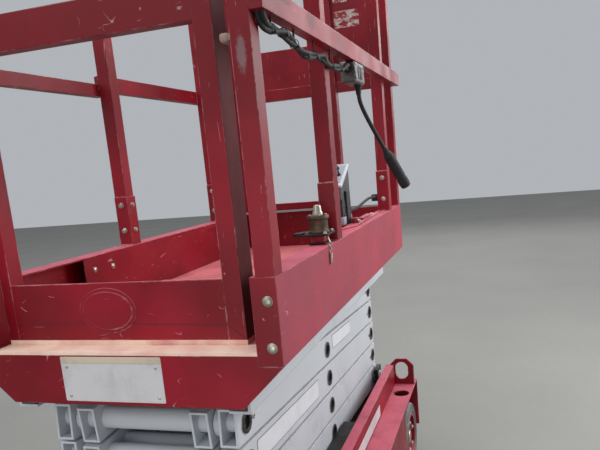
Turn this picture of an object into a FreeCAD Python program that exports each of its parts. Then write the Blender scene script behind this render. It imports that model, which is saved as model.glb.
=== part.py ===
"""Compact electric scissor lift, stowed, in millimetres.

+Z is up, X is the width, the roll-out extension is at the -Y end and the entry gate at the +Y end.
The origin is on the ground, at the middle of the machine's length and width.
"""
import FreeCAD
import Part
import math
import os

os.makedirs("parts", exist_ok=True)
V = FreeCAD.Vector

# Clearances
PIN_CLEAR = 0.3        # radial, a pin that turns in its bore
WELD_CLEAR = 0.1       # radial, a tube welded into its bore
SEAT_CLEAR = 0.3       # a sliding face over the face that carries it
CUT_OVER = 1.0         # how far a cutting tool runs past the face that it opens

# Scissor stack: five crossed pairs, all places across are on the right
LEVELS = 5
ARM_SPAN = 1237.0      # pin to pin along Y when stowed
ARM_RISE = 87.5        # pin to pin along Z when stowed
LOW_PIN_Z = 330.0
ARM_HEIGHT = 80.0
ARM_WALL = 5.0
ARM_OVERHANG = 45.0
INNER_ARM_X = (114.0, 155.0)
OUTER_ARM_W = 40.0
ARM_SIDE_GAP = 21.0    # between the inner and the outer arm
SHAFT_R = 25.0
SHAFT_SHOULDER = 2.0
PIN_R = 22.0
PIN_BORE_R = 15.5
PIN_PROUD = 3.0
COLLAR_R = 32.0
COLLAR_GAP = 2.0
CROSS_TUBE_R = 20.0
CROSS_TUBE_INSET = 60.0
ROLLER_R = 28.0
ROLLER_W = 30.0
ROLLER_ARM_GAP = 10.0
ROLLER_RAIL_GAP = 15.0

# Lift cylinder
BARREL_R = 40.0
BARREL_BORE_R = 33.0
BARREL_EYE_R = 30.0
BARREL_HALF_W = 32.0
ROD_R = 25.0
ROD_EYE_R = 28.0
ROD_EYE_HALF_W = 30.0
ROD_PIN_R = 16.0
ROD_LUG_X = (45.0, 60.0)
ROD_LUG_R = 30.0
ROD_LUG_INSET = 85.0
BARREL_FREE_END = 32.0   # from the barrel's mouth to the rod's eye, stowed
BARREL_CAP = 34.0
PISTON_START = 48.0
PISTON_LENGTH = 16.0
GLAND_LENGTH = 12.0

# Chassis
CHASSIS_FRONT_REACH = 75.0   # from the lowest front pin
CHASSIS_REAR_REACH = 46.0    # from the lowest rear pin
RAIL_W = 32.0
RAIL_TOP_Z = 380.0
RAIL_WALL = 4.0
FLOOR_Z = (262.0, 268.0)
FENDER_REACH = 77.0          # out from the rail
FENDER_Z = (294.0, 300.0)
FENDER_HOLE_R = 30.0
BELLY_HALF_W = 160.0
BELLY_BOTTOM_Z = 100.0
BELLY_WALL = 6.0
EYE_T = 10.0
EYE_SETBACK = 46.0
EYE_OVER_RAIL = 18.0
EYE_EDGE_GAP = 2.0
EYE_TOP_Z = 404.0
EYE_CHAMFER = 26.0
EYE_SLOT_R = 25.0
EYE_SLOT_RISE = 20.0
BULKHEAD_T = 8.0
BULKHEAD_BOTTOM_Z = 110.0
TRACK_LIP = 4.0
TRACK_T = 5.5
TRACK_PAST_MIDDLE = 96.5
TRACK_GAP = 0.5
BRACKET_ARM_GAP = 9.0
BRACKET_T = 15.0
BRACKET_HALF_Y = 36.0

# Wheels and steering
WHEEL_R = 127.0
WHEEL_W = 68.0
WHEEL_INSET = 8.0
TYRE_SHOULDER = 9.0
RIM_R = 88.0
RIM_LIP = 10.0
RIM_DISH = 22.0
RIM_HUB_WALL = 16.0
RIM_HUB_SETBACK = 8.0
FRONT_AXLE_SETBACK = 85.0
REAR_AXLE_SETBACK = 107.0
SPINDLE_R = 18.0
SPINDLE_REACH = 26.0
KINGPIN_INSET = 76.0
KINGPIN_R = 15.0
HOUSING_R = 30.0
HOUSING_BOTTOM_Z = 228.0
UPRIGHT_HALF_X = 21.0
KNUCKLE_GAP = 2.0
MOTOR_R = 45.0
MOTOR_LENGTH = 82.0
WHEEL_SIDE_GAP = 6.0
AXLE_TUBE_R = 28.0

# Side trays, covers and guards
TRAY_FRONT_GAP = 185.0       # from the front axle
TRAY_REAR_GAP = 140.0        # from the rear axle
TRAY_BELLY_GAP = 8.0
TRAY_INSET = 22.0
TRAY_BOTTOM_Z = 100.0
TRAY_WALL = 5.0
LOAD_GAP = 4.0
COVER_INSET = 4.0
COVER_T = 12.0
COVER_TOP_Z = 288.0
COVER_HINGE_R = 6.0
COVER_WEB_INSET = 3.0
COVER_BRACKET_Z = ((130.0, 150.0), (235.0, 255.0))
COVER_BRACKET_REACH = 34.0
GUARD_Z = (62.0, 92.0)
GUARD_INSET = 30.0
GUARD_W = 50.0
GUARD_WALL = 5.0
GUARD_POST_R = 8.0
GUARD_POST_TOP_Z = 200.0
GUARD_POST_INSET = 60.0

# Ladder at the rear
LADDER_HALF_W = 150.0
LADDER_PLATE_T = 8.0
LADDER_REACH = 36.0
LADDER_Z = (150.0, 330.0)
RUNG_Z = (160.0, 290.0)
RUNG_T = 26.0

# Platform
FRONT_MARGIN = 100.0         # from the front pins to the platform's end
REAR_MARGIN = 93.0           # from the rear pins to the platform's end
PLATFORM_INSET = 30.0
DECK_OVER_PIN = 92.5
DECK_T = 6.0
TOE_RISE = 140.0
TOE_DROP = 26.0
TOE_WALL = 4.0
TOE_DEPTH = 50.0
TOE_OPEN_LENGTH = 340.0
BOARD_BOLT_R = 10.0
BOARD_BOLT_H = 5.0
BOARD_BOLT_INSET = 19.0              # from the board's outer face
BOARD_BOLT_DROP = (44.0, 131.0)      # below the board's top
APRON_T = 4.0
APRON_CHAMFER = (88.0, 84.0)
BEAM_ROLLER_GAP = 6.0
BEAM_WEB_T = 6.0
BEAM_END_GAP = 12.0
CROSS_MEMBER_REACH = (-47.0, 68.0)   # along Y from the rear pins
CROSS_MEMBER_H = 24.0
LUG_ARM_GAP = 6.0
LUG_T = 10.0
LUG_R = 34.0

# Guardrails, heights are above the deck
TUBE = 38.0
TUBE_WALL = 3.0
RAIL_HEIGHT = 1100.0
MID_RAIL_RISE = (584.0, 627.0)
MID_RAIL_T = 25.0
LOW_BAY_RAIL_RISE = (567.0, 601.0)
SOCKET_RISE = 280.0
SOCKET_WALL = 3.0
FRONT_POST_SETBACK = 1.0
REAR_POST_SETBACK = 8.0
RIGHT_POST_INSETS = (472.0, 215.0)   # from the front and the rear end
LEFT_POST_INSETS = (607.0, 215.0)

# Rear entry
GATE_T = 26.0
GATE_HINGE_GAP = 22.0
GATE_HINGE_SIDE = 5.0
GATE_FOOT_GAP = 10.0
GATE_MID_DROP = 4.0
GATE_PANEL_H = 145.0
GATE_SHEET_T = 4.0
GATE_BAR = 28.0
GATE_HINGE_R = 7.0
GATE_HINGE_END = 60.0
GATE_LATCH_GAP = 6.0
GATE_BRACKET_H = 40.0
GATE_BRACKET_ENDS = (90.0, 82.0)
GATE_BRACKET_REACH = (-2.0, 13.0)
LATCH_POST_GAP = 172.0
REAR_TOE_T = 6.0

# Roll-out extension, heights are above the platform's deck
EXT_SIDE_GAP = 38.0                 # on the right, where the latch stands
EXT_LEFT_GAP = 6.0
EXT_LEFT_POST = (25.0, 38.0)         # width and depth
EXT_SETBACK = 50.0
EXT_LENGTH = 650.0
EXT_DECK_T = 10.0
EXT_PANEL_RISE = 130.0
EXT_PANEL_T = 5.0
EXT_POST_DEPTH = 60.0
EXT_RAIL_L = 640.0
EXT_MID_RISE = (595.0, 664.0)
EXT_MID_T = 30.0
GUIDE_INSET = (75.0, 135.0)          # of the guides of the side rails, from the extension's front
GUIDE_T = 6.0
GUIDE_TOP_DROP = 6.0

# Fittings on the right side
OUTLET_OVER_POST = (22.0, 26.0)
OUTLET_POST_GAP = 198.0        # from the middle post at its front
OUTLET_W = 115.0
OUTLET_DROP = 54.0
OUTLET_WALL_R = 6.0
GLAND_R = 16.0
GLAND_OUT = 14.0
GLAND_DROP = 2.0
LOW_GLAND_R = 12.0
CONDUIT_R = 8.0
CONDUIT_OUT = 10.0
# back from the front post's middle, below the middle rail
CONDUIT_ROUTE = [(30.0, 22.0), (120.0, 20.0), (250.0, 40.0), (360.0, 28.0), (450.0, 38.0), (545.0, 34.0)]
CORD_R = 6.0
CORD_START = (26.0, 92.0, -12.0)     # from the outlet box's low inner front corner
CORD_STEPS = [(0, 0, 0), (0, 0, -24), (6, 8, -50), (17, 22, -82), (30, 39, -116), (42, 55, -146),
              (51, 67, -168)]
CONNECTOR_R = 16.0
CONNECTOR_LENGTH = 137.0
CONTROL_BOX_SIZE = (60.0, 120.0, 178.0)
CONTROL_BOX_FRONT_H = 112.0
CONTROL_BOX_GAP = 4.0
CONTROL_BOX_FROM_END = 735.0
HANGER_INSET = 20.0
LATCH_PLATE_INSET = 4.0
LATCH_PLATE_L = 74.0
LATCH_FROM_END = 372.0
LATCH_BLOCK_H = 24.0
LATCH_BLOCK_W = 34.0
LATCH_BLOCK_INSET = 12.0
LATCH_PLATE_T = 6.0
LATCH_DRUM_R = 27.0
LATCH_DRUM_H = 50.0

# Worked out along the machine, from the pins of the stack
ARM_LENGTH = math.hypot(ARM_SPAN, ARM_RISE)
ARM_ANGLE = math.degrees(math.atan2(ARM_RISE, ARM_SPAN))
PLATFORM_HALF_L = (FRONT_MARGIN + ARM_SPAN + REAR_MARGIN) / 2
REAR_PIN_Y = PLATFORM_HALF_L - REAR_MARGIN
FRONT_PIN_Y = REAR_PIN_Y - ARM_SPAN
MID_PIN_Y = REAR_PIN_Y - ARM_SPAN / 2
CHASSIS_FRONT_Y = FRONT_PIN_Y - CHASSIS_FRONT_REACH
CHASSIS_REAR_Y = REAR_PIN_Y + CHASSIS_REAR_REACH
EYE_Y = (CHASSIS_REAR_Y - EYE_SETBACK - EYE_T, CHASSIS_REAR_Y - EYE_SETBACK)
TRACK_REAR_Y = MID_PIN_Y + TRACK_PAST_MIDDLE
FRONT_AXLE_Y = FRONT_PIN_Y + FRONT_AXLE_SETBACK
REAR_AXLE_Y = REAR_PIN_Y - REAR_AXLE_SETBACK
TRAY_Y = (FRONT_AXLE_Y + TRAY_FRONT_GAP, REAR_AXLE_Y - TRAY_REAR_GAP)
LADDER_REAR_Y = CHASSIS_REAR_Y + BULKHEAD_T + LADDER_REACH
TOE_INNER_START_Y = TOE_OPEN_LENGTH - PLATFORM_HALF_L
CROSS_MEMBER_Y = [REAR_PIN_Y + reach for reach in CROSS_MEMBER_REACH]
FRONT_POST_Y = FRONT_POST_SETBACK + TUBE / 2 - PLATFORM_HALF_L
REAR_POST_Y = PLATFORM_HALF_L - REAR_POST_SETBACK - TUBE / 2
RIGHT_POST_Y = (RIGHT_POST_INSETS[0] - PLATFORM_HALF_L, PLATFORM_HALF_L - RIGHT_POST_INSETS[1])
LEFT_POST_Y = (LEFT_POST_INSETS[0] - PLATFORM_HALF_L, PLATFORM_HALF_L - LEFT_POST_INSETS[1])
EXT_FRONT_Y = EXT_SETBACK - PLATFORM_HALF_L
EXT_RAIL_REAR_Y = EXT_FRONT_Y + EXT_RAIL_L
GUIDE_Y = [EXT_FRONT_Y + inset for inset in GUIDE_INSET]
GATE_BRACKET_Y = [REAR_POST_Y + reach for reach in GATE_BRACKET_REACH]
OUTLET_Y = (RIGHT_POST_Y[0] + OUTLET_POST_GAP, RIGHT_POST_Y[0] + OUTLET_POST_GAP + OUTLET_W)

# Worked out across the machine, from the arms outwards
OUTER_ARM_X = (INNER_ARM_X[1] + ARM_SIDE_GAP, INNER_ARM_X[1] + ARM_SIDE_GAP + OUTER_ARM_W)
ROLLER_X = (OUTER_ARM_X[1] + ROLLER_ARM_GAP, OUTER_ARM_X[1] + ROLLER_ARM_GAP + ROLLER_W)
TRACK_INNER_X = ROLLER_X[0] - TRACK_LIP
BRACKET_X = (OUTER_ARM_X[1] + BRACKET_ARM_GAP, OUTER_ARM_X[1] + BRACKET_ARM_GAP + BRACKET_T)
RAIL_X = (ROLLER_X[1] + ROLLER_RAIL_GAP, ROLLER_X[1] + ROLLER_RAIL_GAP + RAIL_W)
HALF_WIDTH = RAIL_X[1] + FENDER_REACH
FENDER_HOLE_X = (RAIL_X[1] + HALF_WIDTH) / 2
EYE_X = (RAIL_X[1] - EYE_OVER_RAIL, HALF_WIDTH - EYE_EDGE_GAP)
WHEEL_X = HALF_WIDTH - WHEEL_INSET - WHEEL_W / 2
KINGPIN_X = WHEEL_X - KINGPIN_INSET
TRAY_X = (BELLY_HALF_W + TRAY_BELLY_GAP, HALF_WIDTH - TRAY_INSET)
COVER_X = (HALF_WIDTH - COVER_INSET - COVER_T, HALF_WIDTH - COVER_INSET)
COVER_BRACKET_X = COVER_X[0] - COVER_BRACKET_REACH
GUARD_X = (HALF_WIDTH - GUARD_INSET - GUARD_W, HALF_WIDTH - GUARD_INSET)
PLATFORM_HALF_W = HALF_WIDTH - PLATFORM_INSET
DECK_HALF_W = PLATFORM_HALF_W - TOE_DEPTH
BEAM_WEB_X = (ROLLER_X[1] + BEAM_ROLLER_GAP, ROLLER_X[1] + BEAM_ROLLER_GAP + BEAM_WEB_T)
LUG_X = (INNER_ARM_X[1] + LUG_ARM_GAP, INNER_ARM_X[1] + LUG_ARM_GAP + LUG_T)
POST_X = (PLATFORM_HALF_W - TUBE, PLATFORM_HALF_W)
GATE_HINGE_X = GATE_HINGE_GAP - POST_X[0]
LATCH_POST_X = (POST_X[0] - LATCH_POST_GAP - TUBE, POST_X[0] - LATCH_POST_GAP)
GATE_X = (GATE_HINGE_X + GATE_HINGE_SIDE, LATCH_POST_X[0] - GATE_LATCH_GAP)
EXT_X = (EXT_LEFT_GAP - DECK_HALF_W, DECK_HALF_W - EXT_SIDE_GAP)
EXT_INNER_X = (EXT_X[0] + EXT_LEFT_POST[0], EXT_X[1] - TUBE)
OUTLET_X = (POST_X[0] + OUTLET_OVER_POST[0], POST_X[1] + OUTLET_OVER_POST[1])
CONDUIT_X = POST_X[1] + CONDUIT_OUT
CONTROL_BOX_X = (DECK_HALF_W - CONTROL_BOX_GAP - CONTROL_BOX_SIZE[0], DECK_HALF_W - CONTROL_BOX_GAP)
LATCH_PLATE_X = (EXT_X[1], PLATFORM_HALF_W - LATCH_PLATE_INSET)

# Worked out in height, from the lowest pins upwards
TOP_PIN_Z = LOW_PIN_Z + LEVELS * ARM_RISE
DECK_TOP_Z = TOP_PIN_Z + DECK_OVER_PIN
CROSS_MEMBER_Z = (DECK_TOP_Z - DECK_T - CROSS_MEMBER_H, DECK_TOP_Z - DECK_T)
TOE_TOP_Z = DECK_TOP_Z + TOE_RISE
TOE_BOTTOM_Z = DECK_TOP_Z - TOE_DROP
RAIL_TOP = DECK_TOP_Z + RAIL_HEIGHT
MID_RAIL_Z = [DECK_TOP_Z + rise for rise in MID_RAIL_RISE]
LOW_BAY_RAIL_Z = [DECK_TOP_Z + rise for rise in LOW_BAY_RAIL_RISE]
SOCKET_TOP_Z = DECK_TOP_Z + SOCKET_RISE
GATE_Z = (TOE_TOP_Z + GATE_FOOT_GAP, RAIL_TOP - TUBE)
GATE_MID_Z = [z - GATE_MID_DROP for z in MID_RAIL_Z]
GATE_PANEL_TOP_Z = GATE_MID_Z[1] + GATE_PANEL_H
GATE_LOW_BRACKET_Z = GATE_Z[0] + GATE_BRACKET_ENDS[0]
GATE_HIGH_BRACKET_Z = GATE_Z[1] - GATE_BRACKET_ENDS[1]
GATE_BRACKET_Z = ((GATE_LOW_BRACKET_Z, GATE_LOW_BRACKET_Z + GATE_BRACKET_H),
                  (GATE_HIGH_BRACKET_Z - GATE_BRACKET_H, GATE_HIGH_BRACKET_Z))
EXT_DECK_Z = (DECK_TOP_Z + SEAT_CLEAR, DECK_TOP_Z + SEAT_CLEAR + EXT_DECK_T)
EXT_PANEL_TOP_Z = DECK_TOP_Z + EXT_PANEL_RISE
EXT_MID_Z = [DECK_TOP_Z + rise for rise in EXT_MID_RISE]
OUTLET_Z = (MID_RAIL_Z[0] - OUTLET_DROP, MID_RAIL_Z[0])
CORD_EXIT = (OUTLET_X[0] + CORD_START[0], OUTLET_Y[0] + CORD_START[1], OUTLET_Z[0] + CORD_START[2])
CORD_POINTS = [tuple(exit + step for exit, step in zip(CORD_EXIT, steps)) for steps in CORD_STEPS]

def box(x0, x1, y0, y1, z0, z1):
    return Part.makeBox(x1 - x0, y1 - y0, z1 - z0, V(x0, y0, z0))


def tube(x0, x1, y0, y1, z0, z1, along, wall=TUBE_WALL):
    """Square or flat tube with open ends, along "x", "y" or "z"."""
    trim = [-CUT_OVER if axis == along else wall for axis in "xyz"]
    return box(x0, x1, y0, y1, z0, z1).cut(
        box(x0 + trim[0], x1 - trim[0], y0 + trim[1], y1 - trim[1], z0 + trim[2], z1 - trim[2]))


def capped(x0, x1, y0, y1, z0, z1, wall=TUBE_WALL):
    """Square or flat tube with a plate welded over each end."""
    return box(x0, x1, y0, y1, z0, z1).cut(
        box(x0 + wall, x1 - wall, y0 + wall, y1 - wall, z0 + wall, z1 - wall))


def bar_x(r, x0, x1, y, z):
    """Round bar along X."""
    return Part.makeCylinder(r, x1 - x0, V(x0, y, z), V(1, 0, 0))


def bar_y(r, y0, y1, x, z):
    """Round bar along Y."""
    return Part.makeCylinder(r, y1 - y0, V(x, y0, z), V(0, 1, 0))


def bar_z(r, z0, z1, x, y):
    """Round bar along Z."""
    return Part.makeCylinder(r, z1 - z0, V(x, y, z0), V(0, 0, 1))


def mirrored(shape):
    """The same shape on the other side of the machine."""
    return shape.mirror(V(0, 0, 0), V(1, 0, 0))


def both_sides(*shapes):
    return [s for shape in shapes for s in (shape, mirrored(shape))]


def joined(*shapes):
    """One solid from pieces that touch."""
    whole = shapes[0].fuse(list(shapes[1:]))
    return whole.removeSplitter()


def plate(points, origin, across, up, thickness):
    """A flat plate: outline points as (across, up), thickness along across x up."""
    across = V(*across)
    up = V(*up)
    corners = [V(*origin) + across * a + up * b for a, b in points]
    face = Part.Face(Part.makePolygon(corners + corners[:1]))
    return face.extrude(across.cross(up) * thickness)


def export(node, solids):
    """Write one sub-part from its solids."""
    if len(solids) == 1:
        shape = solids[0]
    else:
        shape = Part.makeCompound(solids)
    shape.exportStep("parts/" + node + ".step")


def cut_all(shape, tools):
    for tool in tools:
        shape = shape.cut(tool)
    return shape


# Scissor stack

def arm_frame(level, leans_forward):
    """A placement from an arm pair's own frame, with Y along the arm, to the stowed machine.

    The outer arms fall towards the rear and the inner arms rise towards it.
    """
    angle = ARM_ANGLE if leans_forward else -ARM_ANGLE
    centre = V(0, MID_PIN_Y, LOW_PIN_Z + (level + 0.5) * ARM_RISE)
    return FreeCAD.Placement(centre, FreeCAD.Rotation(V(1, 0, 0), angle))


def arm_tube(x_range, bores):
    """A rectangular tube along Y, open at both ends, with round bores across it at (y, radius)."""
    x0, x1 = x_range
    half = ARM_LENGTH / 2 + ARM_OVERHANG
    blank = tube(x0, x1, -half, half, -ARM_HEIGHT / 2, ARM_HEIGHT / 2, "y", ARM_WALL)
    return cut_all(blank, [bar_x(r, x0 - CUT_OVER, x1 + CUT_OVER, y, 0) for y, r in bores])


def end_shaft(y, reach, step_x, with_collars, roller_x=None):
    """A hollow cross shaft, full size out to step_x and a smaller pin from there to reach."""
    shaft = joined(bar_x(SHAFT_R, -step_x, step_x, y, 0), bar_x(PIN_R, -reach, reach, y, 0))
    if with_collars:
        x0 = INNER_ARM_X[1] + COLLAR_GAP
        x1 = OUTER_ARM_X[0] - COLLAR_GAP
        shaft = joined(shaft, bar_x(COLLAR_R, x0, x1, y, 0), bar_x(COLLAR_R, -x1, -x0, y, 0))
    if roller_x:
        x0, x1 = roller_x
        shaft = joined(shaft, bar_x(ROLLER_R, x0, x1, y, 0), bar_x(ROLLER_R, -x1, -x0, y, 0))
    return shaft.cut(bar_x(PIN_BORE_R, -reach - CUT_OVER, reach + CUT_OVER, y, 0))


def outer_frame(level):
    """Two outer arms on their front and rear cross shafts."""
    half = ARM_LENGTH / 2
    pin_bore = PIN_R + WELD_CLEAR
    arm = arm_tube(OUTER_ARM_X, [(-half, pin_bore), (0, PIN_R + PIN_CLEAR), (half, pin_bore)])
    face = OUTER_ARM_X[1] + PIN_PROUD
    rear_reach = BRACKET_X[1] + PIN_PROUD if level == 0 else face
    if level == LEVELS - 1:
        front = end_shaft(-half, ROLLER_X[1] + PIN_PROUD, OUTER_ARM_X[0], False, ROLLER_X)
    else:
        front = end_shaft(-half, face, OUTER_ARM_X[0], True)
    rear = end_shaft(half, rear_reach, OUTER_ARM_X[0], level > 0)
    return both_sides(arm) + [front, rear]


def centre_pin():
    """The short hollow pin where two arms cross."""
    x0 = INNER_ARM_X[0] - PIN_PROUD
    x1 = OUTER_ARM_X[1] + PIN_PROUD
    collar = bar_x(COLLAR_R, INNER_ARM_X[1] + COLLAR_GAP, OUTER_ARM_X[0] - COLLAR_GAP, 0, 0)
    bore = bar_x(PIN_BORE_R, x0 - CUT_OVER, x1 + CUT_OVER, 0, 0)
    return joined(bar_x(PIN_R, x0, x1, 0, 0), collar).cut(bore)


def rod_lug(y):
    """A lug for the cylinder rod's pin, on a stub from the inner arm."""
    x0, x1 = ROD_LUG_X
    stub = bar_x(CROSS_TUBE_R, x1, INNER_ARM_X[0], y, 0)
    return joined(bar_x(ROD_LUG_R, x0, x1, y, 0), stub)


def inner_frame(level):
    """Two inner arms, their centre pins and cross tubes, and the end shafts that they own."""
    half = ARM_LENGTH / 2
    running = SHAFT_R + PIN_CLEAR
    own = SHAFT_R + WELD_CLEAR
    front_bore = own if level == 0 else running
    rear_bore = own if level == LEVELS - 1 else running
    arm = arm_tube(INNER_ARM_X, [(-half, front_bore), (0, PIN_R + WELD_CLEAR), (half, rear_bore)])
    tube_y = half - CROSS_TUBE_INSET
    inner_face = INNER_ARM_X[0]
    solids = both_sides(arm, centre_pin())
    solids.append(bar_x(CROSS_TUBE_R, -inner_face, inner_face, -tube_y, 0))
    if level == 1:
        solids += both_sides(rod_lug(half - ROD_LUG_INSET))
    else:
        solids.append(bar_x(CROSS_TUBE_R, -inner_face, inner_face, tube_y, 0))
    shoulder = INNER_ARM_X[1] + SHAFT_SHOULDER
    if level == 0:
        solids.append(end_shaft(-half, ROLLER_X[1] + PIN_PROUD, shoulder, False, ROLLER_X))
    if level == LEVELS - 1:
        solids.append(end_shaft(half, LUG_X[1] + PIN_PROUD, shoulder, False))
    return solids


def in_frame(placement, solids):
    """The solids moved from their own frame into the stowed machine."""
    moved = []
    for solid in solids:
        copy = solid.copy()
        copy.Placement = placement.multiply(copy.Placement)
        moved.append(copy)
    return moved


for level in range(LEVELS):
    export("outer_arms_%d" % (level + 1), in_frame(arm_frame(level, False), outer_frame(level)))
    export("inner_arms_%d" % (level + 1), in_frame(arm_frame(level, True), inner_frame(level)))


# Lift cylinder, from the first inner pair's front cross tube to the second inner pair's rear lugs

def on_inner_arm(level, y):
    return arm_frame(level, True).multVec(V(0, y, 0))


BARREL_PIN = on_inner_arm(0, CROSS_TUBE_INSET - ARM_LENGTH / 2)
ROD_PIN = on_inner_arm(1, ARM_LENGTH / 2 - ROD_LUG_INSET)
CYLINDER_LENGTH = (ROD_PIN - BARREL_PIN).Length
CYLINDER_ANGLE = math.degrees(math.atan2(ROD_PIN.z - BARREL_PIN.z, ROD_PIN.y - BARREL_PIN.y))


def lift_barrel():
    """Barrel with its eye at the origin and its axis along Y."""
    mouth = CYLINDER_LENGTH - BARREL_FREE_END
    eye = bar_x(BARREL_EYE_R, -BARREL_HALF_W, BARREL_HALF_W, 0, 0)
    body = joined(eye, bar_y(BARREL_R, BARREL_CAP, mouth, 0, 0),
                  box(-BARREL_HALF_W, BARREL_HALF_W, 0, BARREL_CAP, -BARREL_EYE_R, BARREL_EYE_R))
    hollow = bar_y(BARREL_BORE_R, PISTON_START - SEAT_CLEAR, mouth - GLAND_LENGTH, 0, 0)
    rod_bore = bar_y(ROD_R + PIN_CLEAR, mouth - GLAND_LENGTH - CUT_OVER, mouth + CUT_OVER, 0, 0)
    pin_bore = bar_x(CROSS_TUBE_R + PIN_CLEAR, -BARREL_HALF_W - CUT_OVER, BARREL_HALF_W + CUT_OVER, 0, 0)
    return cut_all(body, [hollow, rod_bore, pin_bore])


def lift_rod():
    """Piston, rod, eye and the eye's pin, with the barrel's eye at the origin."""
    piston = bar_y(BARREL_BORE_R - PIN_CLEAR, PISTON_START, PISTON_START + PISTON_LENGTH, 0, 0)
    rod = bar_y(ROD_R, PISTON_START, CYLINDER_LENGTH, 0, 0)
    eye = bar_x(ROD_EYE_R, -ROD_EYE_HALF_W, ROD_EYE_HALF_W, CYLINDER_LENGTH, 0)
    pin_end = ROD_LUG_X[0] - PIN_CLEAR
    pin = bar_x(ROD_PIN_R, -pin_end, pin_end, CYLINDER_LENGTH, 0)
    return joined(piston, rod, eye, pin)


cylinder_frame = FreeCAD.Placement(BARREL_PIN, FreeCAD.Rotation(V(1, 0, 0), CYLINDER_ANGLE))
export("lift_cylinder_barrel", in_frame(cylinder_frame, [lift_barrel()]))
export("lift_cylinder_rod", in_frame(cylinder_frame, [lift_rod()]))


# Chassis

def chassis_frame():
    """Floor plate, belly trough, kingpin housings and rear axle stubs."""
    floor = box(-RAIL_X[1], RAIL_X[1], CHASSIS_FRONT_Y, CHASSIS_REAR_Y, *FLOOR_Z)
    bore_z = (HOUSING_BOTTOM_Z - CUT_OVER, FLOOR_Z[1] + CUT_OVER)
    bores = [bar_z(KINGPIN_R + PIN_CLEAR, *bore_z, x, FRONT_AXLE_Y) for x in (-KINGPIN_X, KINGPIN_X)]
    belly = box(-BELLY_HALF_W, BELLY_HALF_W, CHASSIS_FRONT_Y, CHASSIS_REAR_Y, BELLY_BOTTOM_Z, FLOOR_Z[0])
    inside = box(-BELLY_HALF_W + BELLY_WALL, BELLY_HALF_W - BELLY_WALL,
                 CHASSIS_FRONT_Y + BELLY_WALL, CHASSIS_REAR_Y - BELLY_WALL,
                 BELLY_BOTTOM_Z + BELLY_WALL, FLOOR_Z[0] + CUT_OVER)
    housing = bar_z(HOUSING_R, HOUSING_BOTTOM_Z, FLOOR_Z[0], KINGPIN_X, FRONT_AXLE_Y).cut(bores[1])
    wheel_face = WHEEL_X - WHEEL_W / 2 - WHEEL_SIDE_GAP
    axle = joined(bar_x(AXLE_TUBE_R, BELLY_HALF_W, wheel_face, REAR_AXLE_Y, WHEEL_R),
                  bar_x(SPINDLE_R, wheel_face, WHEEL_X + SPINDLE_REACH, REAR_AXLE_Y, WHEEL_R))
    return [cut_all(floor, bores), belly.cut(inside)] + both_sides(housing, axle)


def side_rail():
    """Hollow upstand rail along the chassis, on the right."""
    return capped(*RAIL_X, CHASSIS_FRONT_Y, EYE_Y[0], FLOOR_Z[1], RAIL_TOP_Z, RAIL_WALL)


def fender_plate():
    """Plate over the right wheels, with a round hole over each axle."""
    sheet = box(RAIL_X[1], HALF_WIDTH, CHASSIS_FRONT_Y, CHASSIS_REAR_Y, *FENDER_Z)
    holes = [bar_z(FENDER_HOLE_R, FENDER_Z[0] - CUT_OVER, FENDER_Z[1] + CUT_OVER, FENDER_HOLE_X, y)
             for y in (FRONT_AXLE_Y, REAR_AXLE_Y)]
    return cut_all(sheet, holes)


def tie_down_eye():
    """Upright plate with cut corners and an oval hole, on the right rear of the chassis."""
    x0, x1 = EYE_X
    outline = [(x0, FENDER_Z[1]), (x1, FENDER_Z[1]), (x1, EYE_TOP_Z - EYE_CHAMFER),
               (x1 - EYE_CHAMFER, EYE_TOP_Z), (x0 + EYE_CHAMFER, EYE_TOP_Z), (x0, EYE_TOP_Z - EYE_CHAMFER)]
    sheet = plate(outline, (0, EYE_Y[1], 0), (1, 0, 0), (0, 0, 1), EYE_Y[1] - EYE_Y[0])
    middle = (x0 + x1) / 2
    low = EYE_TOP_Z - EYE_CHAMFER / 2 - EYE_SLOT_R - EYE_SLOT_RISE
    y0, y1 = EYE_Y[0] - CUT_OVER, EYE_Y[1] + CUT_OVER
    slot = joined(bar_y(EYE_SLOT_R, y0, y1, middle, low),
                  bar_y(EYE_SLOT_R, y0, y1, middle, low + EYE_SLOT_RISE),
                  box(middle - EYE_SLOT_R, middle + EYE_SLOT_R, y0, y1, low, low + EYE_SLOT_RISE))
    return sheet.cut(slot)


def chassis_tracks():
    """Flanges above and below the lowest rollers, and the rear pivot brackets."""
    lower_top = LOW_PIN_Z - ROLLER_R - TRACK_GAP
    upper_bottom = LOW_PIN_Z + ROLLER_R + TRACK_GAP
    lower = box(TRACK_INNER_X, RAIL_X[0], CHASSIS_FRONT_Y, TRACK_REAR_Y, lower_top - TRACK_T, lower_top)
    upper = box(TRACK_INNER_X, RAIL_X[0], CHASSIS_FRONT_Y, TRACK_REAR_Y,
                upper_bottom, upper_bottom + TRACK_T)
    bracket = box(BRACKET_X[0], BRACKET_X[1], REAR_PIN_Y - BRACKET_HALF_Y, REAR_PIN_Y + BRACKET_HALF_Y,
                  FLOOR_Z[1], LOW_PIN_Z + BRACKET_HALF_Y)
    bore = bar_x(PIN_R + PIN_CLEAR, BRACKET_X[0] - CUT_OVER, BRACKET_X[1] + CUT_OVER, REAR_PIN_Y, LOW_PIN_Z)
    return both_sides(lower, upper, bracket.cut(bore))


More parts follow.
